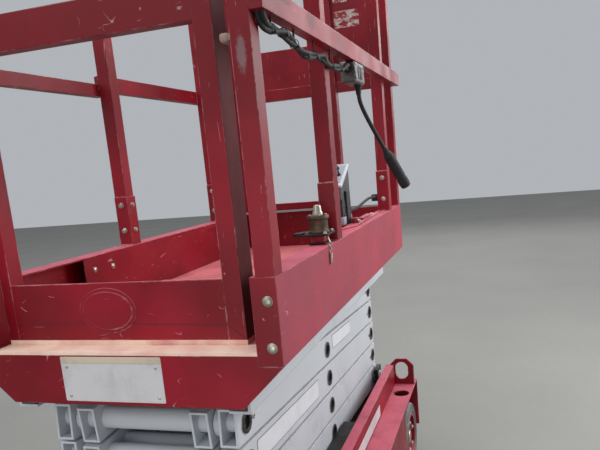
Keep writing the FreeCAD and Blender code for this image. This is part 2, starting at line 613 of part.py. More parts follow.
def side_tray():
    """Tray between the right wheels: floor, two ends, a back wall and the cover's hinge brackets."""
    x0, x1 = TRAY_X
    y0, y1 = TRAY_Y
    outside = box(x0, x1, y0, y1, TRAY_BOTTOM_Z, FLOOR_Z[0])
    inside = box(x0 + TRAY_WALL, x1 + CUT_OVER, y0 + TRAY_WALL, y1 - TRAY_WALL,
                 TRAY_BOTTOM_Z + TRAY_WALL, FLOOR_Z[0] + CUT_OVER)
    brackets = [box(COVER_BRACKET_X, COVER_X[0] - SEAT_CLEAR, y1 - 2 * COVER_HINGE_R, y1, z0, z1)
                for z0, z1 in COVER_BRACKET_Z]
    return joined(outside.cut(inside), *brackets)


def tray_load():
    """One plain block in the right tray, clear of its walls but resting on its floor."""
    x0, x1 = TRAY_X
    y0, y1 = TRAY_Y
    edge = TRAY_WALL + LOAD_GAP
    block = box(x0 + edge, x1 - LOAD_GAP, y0 + edge, y1 - edge - 2 * COVER_HINGE_R,
                TRAY_BOTTOM_Z + TRAY_WALL, FLOOR_Z[0] - LOAD_GAP)
    return block


def guard_post_places():
    middle = (GUARD_X[0] + GUARD_X[1]) / 2
    return [(middle, y) for y in (TRAY_Y[0] + GUARD_POST_INSET, TRAY_Y[1] - GUARD_POST_INSET)]


def with_guard_bores(shape):
    """Round bores for the guard's two posts."""
    bores = [bar_z(GUARD_POST_R + PIN_CLEAR, TRAY_BOTTOM_Z - CUT_OVER, GUARD_POST_TOP_Z + LOAD_GAP, x, y)
             for x, y in guard_post_places()]
    return cut_all(shape, bores)


def pothole_guard():
    """Drop bar under the right tray, an angle with two guide posts."""
    y0, y1 = TRAY_Y
    z0, z1 = GUARD_Z
    upright = box(GUARD_X[1] - GUARD_WALL, GUARD_X[1], y0, y1, z0, z1)
    flat = box(GUARD_X[0], GUARD_X[1], y0, y1, z1 - GUARD_WALL, z1)
    posts = [bar_z(GUARD_POST_R, z1 - GUARD_WALL, GUARD_POST_TOP_Z, x, y) for x, y in guard_post_places()]
    return joined(upright, flat, *posts)


def tray_cover():
    """Swing-out cover of the right tray, with its hinge barrel at the rear edge."""
    y0, y1 = TRAY_Y
    panel = box(COVER_X[0], COVER_X[1], y0, y1 - 2 * COVER_HINGE_R, TRAY_BOTTOM_Z, COVER_TOP_Z)
    barrel_x = (COVER_X[0] + COVER_X[1]) / 2
    barrel = bar_z(COVER_HINGE_R, TRAY_BOTTOM_Z, COVER_TOP_Z, barrel_x, y1 - COVER_HINGE_R)
    web = box(COVER_X[0] + COVER_WEB_INSET, COVER_X[1] - COVER_WEB_INSET,
              y1 - 2 * COVER_HINGE_R, y1 - COVER_HINGE_R, TRAY_BOTTOM_Z, COVER_TOP_Z)
    return joined(panel, barrel, web)


def bulkhead():
    """Rear end plate of the chassis."""
    return box(-HALF_WIDTH, HALF_WIDTH, CHASSIS_REAR_Y, CHASSIS_REAR_Y + BULKHEAD_T,
               BULKHEAD_BOTTOM_Z, FENDER_Z[1])


def ladder():
    """Two cheek plates and two rungs on the bulkhead."""
    y0 = CHASSIS_REAR_Y + BULKHEAD_T
    cheek = box(LADDER_HALF_W - LADDER_PLATE_T, LADDER_HALF_W, y0, LADDER_REAR_Y, *LADDER_Z)
    reach = LADDER_HALF_W - LADDER_PLATE_T - WELD_CLEAR
    rungs = [box(-reach, reach, LADDER_REAR_Y - RUNG_T, LADDER_REAR_Y, z, z + RUNG_T) for z in RUNG_Z]
    return both_sides(cheek) + rungs


export("chassis_frame", chassis_frame())
export("side_rails", both_sides(side_rail()))
export("fender_plates", both_sides(fender_plate()))
export("tie_down_eyes", both_sides(tie_down_eye()))
export("chassis_tracks", chassis_tracks())
export("side_trays", both_sides(with_guard_bores(side_tray())))
export("tray_loads", both_sides(with_guard_bores(tray_load())))
export("pothole_guards", both_sides(pothole_guard()))
export("tray_cover_right", [tray_cover()])
export("tray_cover_left", [mirrored(tray_cover())])
export("rear_bulkhead", [bulkhead()])
export("ladder", ladder())


# Wheels and steering, made on the right and mirrored

def knuckle():
    """Kingpin, upright and wheel motor of the right front wheel."""
    y, z = FRONT_AXLE_Y, WHEEL_R
    wheel_face = WHEEL_X - WHEEL_W / 2 - WHEEL_SIDE_GAP
    top = HOUSING_BOTTOM_Z - KNUCKLE_GAP
    motor = bar_x(MOTOR_R, wheel_face - MOTOR_LENGTH, wheel_face, y, z)
    upright = box(KINGPIN_X - UPRIGHT_HALF_X, KINGPIN_X + UPRIGHT_HALF_X,
                  y - HOUSING_R, y + HOUSING_R, z, top)
    pin = bar_z(KINGPIN_R, top, FLOOR_Z[1] - SEAT_CLEAR, KINGPIN_X, y)
    spindle = bar_x(SPINDLE_R, wheel_face, WHEEL_X + SPINDLE_REACH, y, z)
    return joined(motor, upright, pin, spindle)


def tyre(y):
    """Solid tyre with rounded shoulders on the right."""
    half = WHEEL_W / 2
    ring = bar_x(WHEEL_R, WHEEL_X - half, WHEEL_X + half, y, WHEEL_R)
    edges = [e for e in ring.Edges if isinstance(e.Curve, Part.Circle)]
    ring = ring.makeFillet(TYRE_SHOULDER, edges)
    inner0, inner1 = WHEEL_X - half - CUT_OVER, WHEEL_X + half + CUT_OVER
    return ring.cut(bar_x(RIM_R + WELD_CLEAR, inner0, inner1, y, WHEEL_R))


def rim(y):
    """Dished disc in the right tyre, turning on its spindle."""
    half = WHEEL_W / 2
    disc = bar_x(RIM_R, WHEEL_X - half, WHEEL_X + half, y, WHEEL_R)
    dish = bar_x(RIM_R - RIM_LIP, WHEEL_X + half - RIM_DISH, WHEEL_X + half + CUT_OVER, y, WHEEL_R)
    hub = bar_x(SPINDLE_R + RIM_HUB_WALL, WHEEL_X - half, WHEEL_X + half - RIM_HUB_SETBACK, y, WHEEL_R)
    bore = bar_x(SPINDLE_R + PIN_CLEAR, WHEEL_X - half - CUT_OVER, WHEEL_X + SPINDLE_REACH + PIN_CLEAR,
                 y, WHEEL_R)
    return joined(disc.cut(dish), hub).cut(bore)


# place, axle, on the left
WHEELS = [("front_right", FRONT_AXLE_Y, False), ("front_left", FRONT_AXLE_Y, True),
          ("rear_right", REAR_AXLE_Y, False), ("rear_left", REAR_AXLE_Y, True)]
for place, axle_y, on_left in WHEELS:
    for name, shape in (("tyre_", tyre(axle_y)), ("rim_", rim(axle_y))):
        export(name + place, [mirrored(shape) if on_left else shape])
export("knuckle_right", [knuckle()])
export("knuckle_left", [mirrored(knuckle())])


# Platform

def toe_board():
    """Right side board: a C section towards the deck, closed by an inner wall behind the extension's end."""
    x0 = DECK_HALF_W
    x1 = PLATFORM_HALF_W
    y0 = -PLATFORM_HALF_L
    y1 = PLATFORM_HALF_L
    web = box(x1 - TOE_WALL, x1, y0, y1, TOE_BOTTOM_Z, TOE_TOP_Z)
    top = box(x0, x1, y0, y1, TOE_TOP_Z - TOE_WALL, TOE_TOP_Z)
    bottom = box(x0, x1, y0, y1, TOE_BOTTOM_Z, TOE_BOTTOM_Z + TOE_WALL)
    inner = box(x0, x0 + TOE_WALL, TOE_INNER_START_Y, y1, TOE_BOTTOM_Z, TOE_TOP_Z)
    front = box(x0, x1, y0, y0 + TOE_WALL, TOE_BOTTOM_Z, TOE_TOP_Z)
    rear = box(x0, x1, y1 - TOE_WALL, y1, TOE_BOTTOM_Z, TOE_TOP_Z)
    return joined(web, top, bottom, inner, front, rear)


def board_bolts():
    """Round heads on the front of the right side board."""
    y1 = -PLATFORM_HALF_L
    return [bar_y(BOARD_BOLT_R, y1 - BOARD_BOLT_H, y1, PLATFORM_HALF_W - BOARD_BOLT_INSET, TOE_TOP_Z - drop)
            for drop in BOARD_BOLT_DROP]


def deck_plate():
    return box(-DECK_HALF_W, DECK_HALF_W, -PLATFORM_HALF_L, PLATFORM_HALF_L - REAR_TOE_T,
               DECK_TOP_Z - DECK_T, DECK_TOP_Z)


def apron():
    """Front plate under the deck's edge, with cut lower corners."""
    x1 = DECK_HALF_W
    full = PLATFORM_HALF_W
    cut_x, cut_z = APRON_CHAMFER
    top = TOE_BOTTOM_Z
    lip = DECK_TOP_Z - DECK_T
    outline = [(-full, top), (-full + cut_x, top - cut_z), (full - cut_x, top - cut_z), (full, top),
               (x1, top), (x1, lip), (-x1, lip), (-x1, top)]
    return plate(outline, (0, -PLATFORM_HALF_L + APRON_T, 0), (1, 0, 0), (0, 0, 1), APRON_T)


def platform_beams():
    """Roller beams under the deck, the rear cross member and its pivot lugs."""
    y0 = -PLATFORM_HALF_L + APRON_T + BEAM_END_GAP
    y1 = PLATFORM_HALF_L - BEAM_END_GAP
    under_deck = DECK_TOP_Z - DECK_T
    low = TOP_PIN_Z - ROLLER_R - TRACK_GAP
    high = TOP_PIN_Z + ROLLER_R + TRACK_GAP
    flange_x1 = BEAM_WEB_X[0] - WELD_CLEAR
    web = box(BEAM_WEB_X[0], BEAM_WEB_X[1], y0, y1, low - TRACK_T, under_deck)
    lower = box(TRACK_INNER_X, flange_x1, y0, y1, low - TRACK_T, low)
    upper = box(TRACK_INNER_X, flange_x1, y0, y1, high, high + TRACK_T)
    cross = box(-flange_x1, flange_x1, *CROSS_MEMBER_Y, *CROSS_MEMBER_Z)
    lug = joined(bar_x(LUG_R, LUG_X[0], LUG_X[1], REAR_PIN_Y, TOP_PIN_Z),
                 box(LUG_X[0], LUG_X[1], REAR_PIN_Y - LUG_R, REAR_PIN_Y + LUG_R, TOP_PIN_Z,
                     CROSS_MEMBER_Z[0] - WELD_CLEAR))
    bore = bar_x(PIN_R + PIN_CLEAR, LUG_X[0] - CUT_OVER, LUG_X[1] + CUT_OVER, REAR_PIN_Y, TOP_PIN_Z)
    return both_sides(web, lower, upper, lug.cut(bore)) + [cross]


def post(y, with_socket):
    """Upright of the right guardrail, standing on the toe board."""
    half = TUBE / 2
    top = RAIL_TOP - TUBE
    upright = tube(*POST_X, y - half, y + half, TOE_TOP_Z, top, "z")
    if not with_socket:
        return upright
    wall = SOCKET_WALL + TUBE_WALL
    socket = tube(POST_X[0] - SOCKET_WALL, POST_X[1], y - half - SOCKET_WALL, y + half + SOCKET_WALL,
                  TOE_TOP_Z, SOCKET_TOP_Z, "z", wall)
    return joined(upright, socket)


def side_posts(middle_ys):
    """The right side's four uprights."""
    ends = [post(FRONT_POST_Y, False), post(REAR_POST_Y, False)]
    return ends + [post(y, True) for y in middle_ys]


def top_rail():
    half = TUBE / 2
    return capped(*POST_X, FRONT_POST_Y - half, REAR_POST_Y + half, RAIL_TOP - TUBE, RAIL_TOP)


def mid_rail(y0, y1, z_range):
    """Flat tube on the outer face of the right posts."""
    return capped(POST_X[1], POST_X[1] + MID_RAIL_T, y0, y1, *z_range)


def rail_guide(x0, x1):
    """Trough on the right top rail in which a side rail of the extension, between x0 and x1, slides."""
    inner = x0 - SEAT_CLEAR
    outer = x1 + SEAT_CLEAR
    seat = RAIL_TOP - TUBE - SEAT_CLEAR
    top = RAIL_TOP - GUIDE_TOP_DROP
    floor = box(inner - GUIDE_T, POST_X[0], *GUIDE_Y, seat - GUIDE_T, seat)
    inner_wall = box(inner - GUIDE_T, inner, *GUIDE_Y, seat, top)
    outer_wall = box(outer, POST_X[0], *GUIDE_Y, seat, top)
    return [floor, inner_wall, outer_wall]


def guard_rails():
    half = TUBE / 2
    front = FRONT_POST_Y - half
    rear = REAR_POST_Y + half
    right = mid_rail(front, rear, MID_RAIL_Z)
    split = LEFT_POST_Y[0]
    left_front = mirrored(mid_rail(front, split, LOW_BAY_RAIL_Z))
    left_rear = mirrored(mid_rail(split + WELD_CLEAR, rear, MID_RAIL_Z))
    guides = rail_guide(EXT_INNER_X[1], EXT_X[1])
    guides += [mirrored(s) for s in rail_guide(-EXT_INNER_X[0], -EXT_X[0])]
    return both_sides(top_rail()) + guides + [right, left_front, left_rear]


def rear_frame():
    """Rear toe board, latch post with its ties and sheet, and the gate's hinge brackets on the left post."""
    half = TUBE / 2
    x1 = DECK_HALF_W
    board = box(-x1, x1, PLATFORM_HALF_L - REAR_TOE_T, PLATFORM_HALF_L, TOE_BOTTOM_Z, TOE_TOP_Z)
    y0, y1 = REAR_POST_Y - half, REAR_POST_Y + half
    latch_post = tube(*LATCH_POST_X, y0, y1, DECK_TOP_Z, RAIL_TOP, "z")
    gap = WELD_CLEAR
    tie_x = (LATCH_POST_X[1] + gap, POST_X[0] - gap)
    ties = [tube(*tie_x, REAR_POST_Y - half / 2, REAR_POST_Y + half / 2, z, z + TUBE, "x")
            for z in (MID_RAIL_Z[0], RAIL_TOP - 2 * TUBE)]
    sheet = box(*tie_x, REAR_POST_Y - GATE_SHEET_T / 2, REAR_POST_Y + GATE_SHEET_T / 2,
                MID_RAIL_Z[0] + TUBE + gap, RAIL_TOP - 2 * TUBE - gap)
    brackets = [box(-POST_X[0], GATE_HINGE_X - GATE_HINGE_R - SEAT_CLEAR, *GATE_BRACKET_Y, z0, z1)
                for z0, z1 in GATE_BRACKET_Z]
    return [board, latch_post, sheet] + ties + brackets


def entry_gate():
    """Swing gate: two stiles, three bars and a sheet above the middle bar, as separate tubes."""
    x0, x1 = GATE_X
    half = GATE_T / 2
    y0, y1 = REAR_POST_Y - half, REAR_POST_Y + half
    gap = WELD_CLEAR
    hinge = bar_z(GATE_HINGE_R, GATE_Z[0] + GATE_HINGE_END, GATE_Z[1] - GATE_HINGE_END,
                  GATE_HINGE_X, REAR_POST_Y)
    left_tube = tube(x0, x0 + GATE_BAR, y0, y1, *GATE_Z, "z")
    left_stile = joined(left_tube, hinge.cut(box(x0, x0 + GATE_BAR, y0, y1, *GATE_Z)))
    right_stile = tube(x1 - GATE_BAR, x1, y0, y1, *GATE_Z, "z")
    inner0, inner1 = x0 + GATE_BAR + gap, x1 - GATE_BAR - gap
    bars = [tube(inner0, inner1, y0, y1, z0, z1, "x")
            for z0, z1 in ((GATE_Z[0], GATE_Z[0] + GATE_BAR), GATE_MID_Z, (GATE_Z[1] - GATE_BAR, GATE_Z[1]))]
    sheet = box(inner0, inner1, REAR_POST_Y - GATE_SHEET_T / 2, REAR_POST_Y + GATE_SHEET_T / 2,
                GATE_MID_Z[1] + gap, GATE_PANEL_TOP_Z)
    return [left_stile, right_stile, sheet] + bars


export("toe_boards", both_sides(toe_board()))
export("board_bolts", both_sides(*board_bolts()))
export("platform_deck", [deck_plate()])
export("front_apron", [apron()])
export("platform_beams", platform_beams())
export("right_posts", side_posts(RIGHT_POST_Y))
export("left_posts", [mirrored(p) for p in side_posts(LEFT_POST_Y)])
export("guard_rails", guard_rails())
export("rear_frame", rear_frame())
export("entry_gate", entry_gate())


# Roll-out extension

def extension_posts():
    """Deep upright on the right and a slimmer one on the left."""
    return [tube(x0, x1, EXT_FRONT_Y, EXT_FRONT_Y + depth, EXT_DECK_Z[1], RAIL_TOP - TUBE, "z")
            for x0, x1, depth in ((EXT_INNER_X[1], EXT_X[1], EXT_POST_DEPTH),
                                  (EXT_X[0], EXT_INNER_X[0], EXT_LEFT_POST[1]))]


def extension_rails():
    """Deep front middle band, front top rail and the side rails that slide in the platform's guides."""
    left = EXT_INNER_X[0] + WELD_CLEAR
    right = EXT_INNER_X[1] - WELD_CLEAR
    y0 = EXT_FRONT_Y
    band = tube(left, right, y0, y0 + EXT_MID_T, *EXT_MID_Z, "x")
    front_top = tube(left, right, y0, y0 + TUBE, RAIL_TOP - TUBE, RAIL_TOP, "x")
    side_tops = [capped(x0, x1, y0, EXT_RAIL_REAR_Y, RAIL_TOP - TUBE, RAIL_TOP)
                 for x0, x1 in ((EXT_INNER_X[1], EXT_X[1]), (EXT_X[0], EXT_INNER_X[0]))]
    return [band, front_top] + side_tops


def extension_panel():
    """Kick panel between and in front of the extension's deck and uprights."""
    return box(EXT_INNER_X[0] + WELD_CLEAR, EXT_INNER_X[1] - WELD_CLEAR,
               EXT_FRONT_Y, EXT_FRONT_Y + EXT_PANEL_T, EXT_DECK_Z[1], EXT_PANEL_TOP_Z)


export("extension_deck", [box(*EXT_X, EXT_FRONT_Y, EXT_FRONT_Y + EXT_LENGTH, *EXT_DECK_Z)])
export("extension_panel", [extension_panel()])
export("extension_posts", extension_posts())
export("extension_rails", extension_rails())


# Fittings

def outlet_box():
    """Metal box under the right middle rail, with a round gland at the front and one below."""
    z0, z1 = OUTLET_Z
    body = box(OUTLET_X[0], OUTLET_X[1], OUTLET_Y[0], OUTLET_Y[1], z0, z1)
    upright = [e for e in body.Edges if e.BoundBox.ZLength > OUTLET_DROP / 2]
    body = body.makeFillet(OUTLET_WALL_R, upright)
    front_gland = bar_y(GLAND_R, OUTLET_Y[0] - GLAND_OUT, OUTLET_Y[0] + CUT_OVER, CONDUIT_X,
                        z1 - GLAND_R - GLAND_DROP)
    x, y, z = CORD_POINTS[0]
    low_gland = bar_z(LOW_GLAND_R, z, z0 + CUT_OVER, x, y)
    return joined(body, front_gland, low_gland)


def route_wire(points):
    """Straight runs joined by tangent arcs through a route's points."""
    spots = [V(*p) for p in points]
    edges = []
    start = spots[0]
    for before, corner, after in zip(spots, spots[1:], spots[2:]):
        into = corner - before
        out = after - corner
        turn = into.getAngle(out)
        reach = 0.45 * min(into.Length, out.Length)
        arc_in = corner - V(into).normalize() * reach
        arc_out = corner + V(out).normalize() * reach
        radius = reach / math.tan(turn / 2)
        middle_way = (V(out).normalize() - V(into).normalize()).normalize()
        centre = corner + middle_way * math.hypot(reach, radius)
        top = centre - middle_way * radius
        edges.append(Part.LineSegment(start, arc_in).toShape())
        edges.append(Part.Arc(arc_in, top, arc_out).toShape())
        print("cord radius %.0f mm" % radius)
        start = arc_out
    edges.append(Part.LineSegment(start, spots[-1]).toShape())
    return Part.Wire(edges)


def hose(radius, points):
    """A round solid along a route's points."""
    path = route_wire(points)
    heading = V(*points[1]) - V(*points[0])
    ring = Part.Wire(Part.makeCircle(radius, V(*points[0]), heading))
    solid = path.makePipeShell([ring], True, False)
    print("length %.0f mm, volume over section %.0f mm"
          % (path.Length, solid.Volume / (math.pi * radius ** 2)))
    return solid


def conduit():
    """Dark conduit that sags between its ties under the right middle rail, out to the outlet's gland."""
    route = [(CONDUIT_X, FRONT_POST_Y + back, MID_RAIL_Z[0] - drop) for back, drop in CONDUIT_ROUTE]
    gland = (CONDUIT_X, OUTLET_Y[0] - GLAND_OUT, OUTLET_Z[1] - GLAND_R - GLAND_DROP)
    return hose(CONDUIT_R, route + [(gland[0], gland[1] - 2 * GLAND_R, gland[2]), gland])


def cord():
    """The short free cord below the outlet box."""
    return hose(CORD_R, CORD_POINTS)


def connector():
    """Round connector on the end of the cord."""
    end = V(*CORD_POINTS[-1])
    heading = (end - V(*CORD_POINTS[-2])).normalize()
    return Part.makeCylinder(CONNECTOR_R, CONNECTOR_LENGTH, end, heading)


def control_box():
    """Sloping control box inside the right toe board, on a hanger over the board's top flange."""
    x0, x1 = CONTROL_BOX_X
    y0 = CONTROL_BOX_FROM_END - PLATFORM_HALF_L
    y1 = y0 + CONTROL_BOX_SIZE[1]
    z0 = TOE_TOP_Z + CONTROL_BOX_GAP
    z1 = z0 + CONTROL_BOX_SIZE[2]
    hanger_y = (y0 + HANGER_INSET, y1 - HANGER_INSET)
    hanger = box(x1, PLATFORM_HALF_W, *hanger_y, TOE_TOP_Z, TOE_TOP_Z + TOE_WALL)
    low_z1 = z0 + CONTROL_BOX_FRONT_H
    upright = box(x1, x1 + TOE_WALL, *hanger_y, TOE_TOP_Z, low_z1 - HANGER_INSET)
    outline = [(y0, z0), (y1, z0), (y1, z1), (y0, low_z1)]
    body = plate(outline, (x0, 0, 0), (0, 1, 0), (0, 0, 1), x1 - x0)
    return joined(body, hanger, upright)


def deck_latch():
    """Latch of the extension: a block on the right toe board, and a plate with an upright drum over it."""
    y0 = LATCH_FROM_END - PLATFORM_HALF_L
    plate_z = (TOE_TOP_Z + LATCH_BLOCK_H, TOE_TOP_Z + LATCH_BLOCK_H + LATCH_PLATE_T)
    base = box(*LATCH_PLATE_X, y0, y0 + LATCH_PLATE_L, *plate_z)
    block = box(DECK_HALF_W, DECK_HALF_W + LATCH_BLOCK_W, y0 + LATCH_BLOCK_INSET,
                y0 + LATCH_PLATE_L - LATCH_BLOCK_INSET, TOE_TOP_Z, plate_z[0])
    drum = bar_z(LATCH_DRUM_R, plate_z[1], plate_z[1] + LATCH_DRUM_H, DECK_HALF_W, y0 + LATCH_PLATE_L / 2)
    return joined(base, block, drum)


export("outlet_box", [outlet_box()])
export("conduit", [conduit()])
export("cord", [cord()])
export("cord_connector", [connector()])
export("control_box", [control_box()])
export("deck_latch", [deck_latch()])
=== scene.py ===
# %% [markdown]
# # A compact electric scissor lift
#
# This file dresses the CAD model of a small red scissor lift. The CAD parts keep their shapes and
# places, and each step adds what fasteners, castings and years of use add on the real machine: bolts,
# weld beads, glands, leads and worn paint. Pictures laid over the parts could show the same things, but
# small real forms catch the light and stay right from every side. Sizes are in metres, +Z is up, the
# roll-out extension looks towards -Y, and +X is the side with the outlet box.

# %% Load the CAD frame
import math

import bmesh
import bpy
from mathutils import Matrix, Vector


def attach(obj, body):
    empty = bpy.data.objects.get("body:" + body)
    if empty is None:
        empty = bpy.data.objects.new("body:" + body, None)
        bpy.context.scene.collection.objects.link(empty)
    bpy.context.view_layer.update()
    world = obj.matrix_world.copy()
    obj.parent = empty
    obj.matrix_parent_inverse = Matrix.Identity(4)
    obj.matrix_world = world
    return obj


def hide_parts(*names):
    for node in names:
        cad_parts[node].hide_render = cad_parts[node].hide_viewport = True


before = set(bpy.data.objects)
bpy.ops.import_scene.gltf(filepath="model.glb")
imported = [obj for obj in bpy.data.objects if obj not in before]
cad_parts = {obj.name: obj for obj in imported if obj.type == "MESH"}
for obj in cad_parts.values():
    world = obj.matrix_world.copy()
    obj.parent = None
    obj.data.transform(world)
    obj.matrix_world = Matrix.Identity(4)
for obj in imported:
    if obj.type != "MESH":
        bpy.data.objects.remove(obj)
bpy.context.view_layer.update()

# %% [markdown]
# ## The camera
#
# The view is from the front right corner at chest height, and the machine's posts run together towards
# the floor. A camera that tilts down a little, with its centre shifted, gives the same lines. Its pose is
# written as one matrix, because three angles would be harder to keep exact. It comes first, so that every
# piece can be judged through it.

# %% Camera
FRAME_WIDTH_PX = 600
FOCAL_PX = 623.17
CENTRE_PX = (312.84, 276.92)
FRAME_CENTRE_PX = (300, 225)
SENSOR_MM = 36
CAMERA_POSE = Matrix((
    (0.954745, 0.031617, 0.295742, 0.73589),
    (0.284047, 0.197949, -0.938154, -1.72024),
    (-0.088203, 0.979702, 0.180011, 1.19076),
    (0, 0, 0, 1)))

lens = bpy.data.cameras.new("photo_camera")
lens.sensor_width = SENSOR_MM
lens.lens = FOCAL_PX * SENSOR_MM / FRAME_WIDTH_PX
lens.shift_x = (FRAME_CENTRE_PX[0] - CENTRE_PX[0]) / FRAME_WIDTH_PX
lens.shift_y = (CENTRE_PX[1] - FRAME_CENTRE_PX[1]) / FRAME_WIDTH_PX
camera = bpy.data.objects.new("photo_camera", lens)
bpy.context.scene.collection.objects.link(camera)
camera.matrix_world = CAMERA_POSE
bpy.context.scene.camera = camera
print("lens %.1f mm, shift %.3f %.3f" % (lens.lens, lens.shift_x, lens.shift_y))

# %% [markdown]
# ## Shader maths
#
# Wear is made from masks: where an edge is, where dust settles, where something scraped along. Masks are
# sums and products of textures. They could be wired node by node, but long chains are hard to read, so a
# small class lets them be written as plain Python expressions, and each operator adds its Math node.

# %% A value in a finish
class Value:
    """A socket of a finish that can take part in sums and products."""

    def __init__(self, finish, socket):
        self.finish = finish
        self.socket = socket

    def __add__(self, other):
        return self.finish.maths("ADD", self, other)

    def __sub__(self, other):
        return self.finish.maths("SUBTRACT", self, other)

    def __rsub__(self, other):
        return self.finish.maths("SUBTRACT", other, self)

    def __mul__(self, other):
        return self.finish.maths("MULTIPLY", self, other)

    __radd__ = __add__
    __rmul__ = __mul__

    def clipped(self):
        """The value held between 0 and 1."""
        return self.finish.maths("ADD", self, 0.0, use_clamp=True)

    def absolute(self):
        return self.finish.maths("ABSOLUTE", self, 0.0)

    def above(self, start, end):
        """0 below start, 1 above end, with a smooth step between them."""
        return self.finish.node("ShaderNodeMapRange", {"interpolation_type": "SMOOTHSTEP"},
                                {"Value": self, "From Min": start, "From Max": end})

    def along(self, axis):
        """The X, Y or Z part of a vector."""
        return self.finish.node("ShaderNodeSeparateXYZ", None, {0: self}, out=axis)


# %% A finish
class Finish:
    """One procedural material. Patterns read Object coordinates, so they stay on a piece when it moves."""

    def __init__(self, name, roughness=0.5, metallic=0.0):
        self.material = bpy.data.materials.new(name)
        self.material.use_nodes = True
        self.tree = self.material.node_tree
        self.shader = self.tree.nodes["Principled BSDF"]
        self.shader.inputs["Roughness"].default_value = roughness
        self.shader.inputs["Metallic"].default_value = metallic
        self.place = self.node("ShaderNodeTexCoord", out="Object")

    def fill(self, socket, value):
        """Link a Value to a socket, or set a number or colour on it."""
        if isinstance(value, Value):
            self.tree.links.new(value.socket, socket)
        else:
            socket.default_value = value

    def node(self, kind, settings=None, inputs=None, out=0):
        made = self.tree.nodes.new(kind)
        for key, value in (settings or {}).items():
            setattr(made, key, value)
        for key, value in (inputs or {}).items():
            self.fill(made.inputs[key], value)
        return Value(self, made.outputs[out])

    def maths(self, operation, a, b, use_clamp=False):
        return self.node("ShaderNodeMath", {"operation": operation, "use_clamp": use_clamp}, {0: a, 1: b})

    def vector_maths(self, operation, inputs, out=0):
        return self.node("ShaderNodeVectorMath", {"operation": operation}, inputs, out)

    def stretched(self, scale=(1, 1, 1), turn=(0, 0, 0)):
        return self.node("ShaderNodeMapping", None,
                         {"Vector": self.place, "Scale": scale, "Rotation": turn})

    def noise(self, scale, detail=4.0, rough=0.5, place=None):
        return self.node("ShaderNodeTexNoise", None, {"Vector": place or self.place, "Scale": scale,
                                                      "Detail": detail, "Roughness": rough})

    def mix(self, factor, a, b):
        """Colour a where the factor is 0 and colour b where it is 1."""
        return self.node("ShaderNodeMix", {"data_type": "RGBA"}, {0: factor, 6: a, 7: b}, out=2)

    def bump(self, height, strength, distance, normal=None):
        inputs = {"Height": height, "Strength": strength, "Distance": distance}
        if normal:
            inputs["Normal"] = normal
        return self.node("ShaderNodeBump", None, inputs)

    def set(self, **links):
        """Feed the shader's own sockets, and give the finished material."""
        for key, value in links.items():
            self.fill(self.shader.inputs[key.replace("_", " ")], value)
        print("finish", self.material.name, "has", len(self.tree.nodes), "nodes")
        return self.material


def rgb(red, green, blue):
    """A colour given as the 0 to 255 numbers of a paint chip, as the shader's linear values."""
    def linear(c):
        c /= 255
        return c / 12.92 if c <= 0.04045 else ((c + 0.055) / 1.055) ** 2.4
    return (linear(red), linear(green), linear(blue), 1.0)


# %% [markdown]
# ## Masks of wear
#
# Paint goes first where an edge sticks out, and dust stays where a face looks up; on the red enamel that
# mask also carries a painted sheen for the light from above. Edges could be marked by hand on every piece.
# A Bevel node finds them all instead: where the rounded normal and the true one part, there is an edge.
# Scratches are the lines along which a stretched noise crosses its middle value.

# %% Edges, dust, scratches and bare places
SHEET_EDGE = 0.003
SHEET_EDGE_SAMPLES = 4


def facing_up(finish):
    """How far the piece's own surface looks up, from -1 to 1."""
    return finish.node("ShaderNodeTexCoord", out="Normal").along("Z")


def soft_edges(finish, radius=SHEET_EDGE):
    """A normal that rounds sharp edges, as bent sheet and drawn tube do."""
    return finish.node("ShaderNodeBevel", {"samples": SHEET_EDGE_SAMPLES}, {"Radius": radius})


def edge_mask(finish, rounded):
    """1 along sharp edges and 0 on flat faces."""
    true_normal = finish.node("ShaderNodeNewGeometry", out="True Normal")
    same = finish.vector_maths("DOT_PRODUCT", {0: rounded, 1: true_normal}, out="Value")
    return (1.0 - same).above(0.002, 0.07)


def line_scratches(finish, scale, squeeze, turn, width=0.005):
    """Short thin curved lines, thinned out by a second noise."""
    level = finish.noise(scale, 1.0, 0.5, finish.stretched(squeeze, turn))
    shown = finish.noise(scale * 1.3, 2.0, 0.5).above(0.60, 0.67)
    return (1.0 - (level - 0.5).absolute().above(width * 0.4, width)) * shown


def bare_place(finish, place, radii):
    """1 at a place on the part, falling to 0 at the ellipsoid of these radii, with a ragged edge."""
    offset = finish.vector_maths("SUBTRACT", {0: finish.place, 1: place})
    scaled = finish.vector_maths("DIVIDE", {0: offset, 1: radii})
    distance = finish.vector_maths("LENGTH", {0: scaled}, out="Value")
    ragged = distance + (finish.noise(90.0, 5.0, 0.7) - 0.5) * 1.3
    return 1.0 - ragged.above(0.45, 1.10)


# %% [markdown]
# ## Worn red enamel
#
# The machine is sprayed in one dark red enamel. Chains, boots and tools have taken it off along edges,
# where primer and bare steel show pale. Every face that looks up is paler: boot dust has dulled it, and a
# painted sheen stands for the light it catches from above. Over the red lie slow changes of tone, settled
# dust, broad scuffs, thin scratches, rubbed edges, chips, and a few places rubbed down to grey steel.
# Inside the chassis, between its rails, the red is painted almost black as shade, and on some parts the
# faces towards +X take painted light of their own: a pale sheen on the toe boards, a dark shade on the
# extension's posts. One function mixes these layers with different strengths, so that every red part
# belongs to the same machine.

# %% Red enamel
RED = rgb(148, 19, 38)
DEEP_RED = rgb(118, 12, 26)
# Pale pink of dust and scuffs, and of the painted sheen on faces that catch the light
DUST_AND_SHEEN_RED = rgb(206, 104, 124)
# Painted shade for the +X faces of the extension's posts
SHADED_RED = rgb(62, 7, 12)
PRIMER = rgb(216, 176, 176)
BARE_STEEL = rgb(134, 112, 114)
# Painted shade: the near-black colour of the chassis inside, between its rails
INSIDE_SHADE = rgb(24, 20, 20)
SHADED_HALF_LENGTH = (0.56, 0.60)


